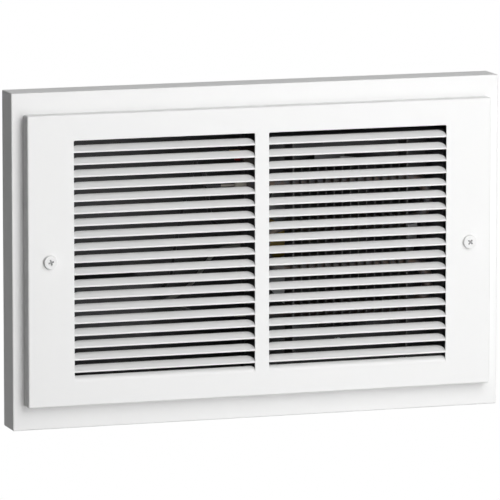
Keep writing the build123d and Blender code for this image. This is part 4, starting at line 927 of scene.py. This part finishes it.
def pan_screw(sizes, length, washer):
    """A cross-recess pan-head screw. It seats at the origin and its shank runs along -Z."""
    shank, head, height = sizes
    crown = crown_radius * head
    rings = []
    for index in range(1, quarter_steps + 1):
        angle = math.pi / 2 * index / quarter_steps
        rings.append((crown + (head - crown) * math.sin(angle),
                      height * (1 - crown_depth * (1 - math.cos(angle)))))
    if washer:
        rings += [(head, washer_sheet), (head + washer - edge_break, washer_sheet),
                  (head + washer, washer_sheet - edge_break), (head + washer, 0.0)]
    else:
        rings += [(head, edge_break), (head - edge_break, 0.0)]
    rings.append((shank, 0.0))
    turns = int((length - shank) / thread_pitch)
    for turn in range(turns):
        rings += [(shank - thread_depth, -(turn + 0.5) * thread_pitch), (shank, -(turn + 1) * thread_pitch)]
    rings += [(shank - thread_depth, -(turns + 0.5) * thread_pitch), (shank_tip * shank, -length)]

    shape = bmesh.new()
    arm, side = drive_reach * head, drive_slot * head
    outline = []
    for quarter in range(4):
        turn = Matrix.Rotation(quarter * math.pi / 2, 3, "Z")
        for x, y in ((arm, -side), (arm, side), (side, side)):
            outline.append(shape.verts.new(turn @ Vector((x, y, height))))
    drive = shape.faces.new(outline)
    drive_rim = drive.edges[:]
    circle = bmesh.ops.create_circle(shape, segments=screw_sides, radius=crown, cap_ends=False)["verts"]
    bmesh.ops.translate(shape, vec=(0, 0, height), verts=circle)
    rim = [edge for edge in shape.edges if all(vert in circle for vert in edge.verts)]
    bmesh.ops.bridge_loops(shape, edges=[*drive_rim, *rim])
    level = height
    for radius, z in rings:
        rim = ring_on(shape, rim, radius, z - level)
        level = z
    bmesh.ops.contextual_create(shape, geom=rim)
    bmesh.ops.inset_individual(shape, faces=[drive], thickness=drive_draft * side,
                               depth=-drive_depth * height, use_even_offset=True)
    bmesh.ops.recalc_face_normals(shape, faces=shape.faces)
    return shape


def screw_set(node, sizes, outward, washer=0.0):
    """The screws of one node, each seated where the node's box says, with its cross turned its own way."""
    low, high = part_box(node)
    outward = Vector(outward)
    own_way = max(range(3), key=lambda way: abs(outward[way]))
    reach = sizes[1] + washer
    places = []
    for way in range(3):
        if way == own_way:
            top = high[way] if outward[way] > 0 else low[way]
            places.append([top - outward[way] * sizes[2]])
        elif high[way] - low[way] < single_span * reach:
            places.append([(low[way] + high[way]) / 2])
        else:
            places.append([low[way] + reach, high[way] - reach])
    length = high[own_way] - low[own_way] - sizes[2]
    facing = Vector((0, 0, 1)).rotation_difference(outward).to_matrix()
    shapes = []
    for x in places[0]:
        for y in places[1]:
            for z in places[2]:
                shape = pan_screw(sizes, length, washer)
                turned = facing @ Matrix.Rotation(len(shapes) * screw_turn + screw_turn / 2, 3, "Z")
                bmesh.ops.rotate(shape, cent=(0, 0, 0), matrix=turned, verts=shape.verts)
                bmesh.ops.translate(shape, vec=(x, y, z), verts=shape.verts)
                shapes.append(shape)
    return joined(shapes)


to_room, to_back, to_left = (0, -1, 0), (0, 1, 0), (-1, 0, 0)
for name, node, sizes, outward, washer, slot in (
    ("panel_screws", "grille_screws", grille_screw, to_room, 0.0, "painted_screw"),
    ("earth_screw", "ground_screw", small_screw, to_room, washer_reach, "ground_green"),
    ("wiring_cover_screw", "cover_screw", small_screw, to_room, 0.0, "zinc_screw"),
    ("housing_screws", "chassis_screws", small_screw, to_room, 0.0, "zinc_screw"),
    ("motor_strap_screws", "strap_screws", small_screw, to_room, 0.0, "zinc_screw"),
    ("long_motor_screws", "motor_screws", motor_screw, to_back, 0.0, "zinc_screw"),
    ("cutout_ear_screws", "cutout_screws", small_screw, to_left, 0.0, "zinc_screw"),
    ("block_wire_screws", "terminal_screws", block_screw, to_room, 0.0, "brass_screw"),
):
    piece(name, screw_set(node, sizes, outward, washer), slot, replaced=[node])


# Studio

def lamp(name, toward, distance, size, level):
    """A square soft light. A white surface that faces it from the origin shows this level."""
    light = bpy.data.lights.new(name, "AREA")
    light.size = size
    light.energy = level * (math.pi * distance) ** 2
    made = bpy.data.objects.new(name, light)
    direction = Vector(toward).normalized()
    made.location = direction * distance
    made.rotation_mode = "QUATERNION"
    made.rotation_quaternion = direction.to_track_quat("Z", "Y")
    bpy.context.scene.collection.objects.link(made)


def background_rays(tree):
    """1 for rays that should see a white background, such as the camera's, and 0 for the rest."""
    path = tree.nodes.new("ShaderNodeLightPath")
    seen = path.outputs["Is Camera Ray"]
    for other in ("Is Glossy Ray", "Is Transmission Ray"):
        either = tree.nodes.new("ShaderNodeMath")
        either.operation = "MAXIMUM"
        tree.links.new(seen, either.inputs[0])
        tree.links.new(path.outputs[other], either.inputs[1])
        seen = either.outputs[0]
    return seen


def surroundings():
    world = bpy.data.worlds.new("studio")
    world.use_nodes = True
    tree = world.node_tree
    background = tree.nodes["Background"]
    background.inputs["Color"].default_value = (1.0, 1.0, 1.0, 1.0)
    strength = tree.nodes.new("ShaderNodeMapRange")
    strength.inputs["To Min"].default_value = ambient_level
    tree.links.new(background_rays(tree), strength.inputs["Value"])
    tree.links.new(strength.outputs["Result"], background.inputs["Strength"])
    bpy.context.scene.world = world


def pale_floor():
    """A floor that takes the object's shadow near it and fades to white further out."""
    shape = bmesh.new()
    bmesh.ops.create_grid(shape, x_segments=1, y_segments=1, size=floor_size / 2)
    bmesh.ops.translate(shape, vec=(0, 0, -floor_drop), verts=shape.verts)
    mesh = bpy.data.meshes.new("floor")
    shape.to_mesh(mesh)
    shape.free()
    floor = bpy.data.objects.new("floor", mesh)
    bpy.context.scene.collection.objects.link(floor)
    finish = Finish("floor", (floor_colour,) * 3, 0.9, Specular_IOR_Level=0.0)
    far = hypotenuse(finish.axis("X"), finish.axis("Y")).between(floor_fade_start, floor_fade_end)
    glow = finish.add("ShaderNodeEmission", None, {"Color": (1.0, 1.0, 1.0, 1.0)})
    mix = finish.tree.nodes.new("ShaderNodeMixShader")
    pale = floor_paleness + (1.0 - floor_paleness) * far
    finish.feed(mix.inputs[0], pale * Signal(finish, background_rays(finish.tree)))
    finish.tree.links.new(finish.shader.outputs[0], mix.inputs[1])
    finish.tree.links.new(glow.socket, mix.inputs[2])
    finish.tree.links.new(mix.outputs[0], finish.tree.nodes["Material Output"].inputs["Surface"])
    mesh.materials.append(finish.material)


def camera():
    made = bpy.data.objects.new("camera", bpy.data.cameras.new("camera"))
    made.data.lens = camera_lens
    made.data.sensor_width = sensor_width
    made.data.clip_end = camera_reach
    azimuth = math.radians(camera_azimuth)
    elevation = math.radians(camera_elevation)
    back = Vector((math.sin(azimuth) * math.cos(elevation), -math.cos(azimuth) * math.cos(elevation),
                   math.sin(elevation)))
    made.location = camera_target + back * camera_distance
    made.rotation_mode = "QUATERNION"
    made.rotation_quaternion = back.to_track_quat("Z", "Y")
    bpy.context.scene.collection.objects.link(made)
    bpy.context.scene.camera = made


camera()
surroundings()
pale_floor()
lamp("front", (0.22, -1.0, 0.12), 2.4, 1.5, 0.28)
lamp("high", (0.32, -1.0, 0.74), 1.4, 1.0, 0.65)
lamp("low_right", (0.40, -1.0, -0.52), 1.3, 0.9, 0.38)
lamp("behind", (0.5, 1.0, -0.25), 1.3, 0.5, 0.36)
bpy.context.scene.view_settings.view_transform = "Standard"
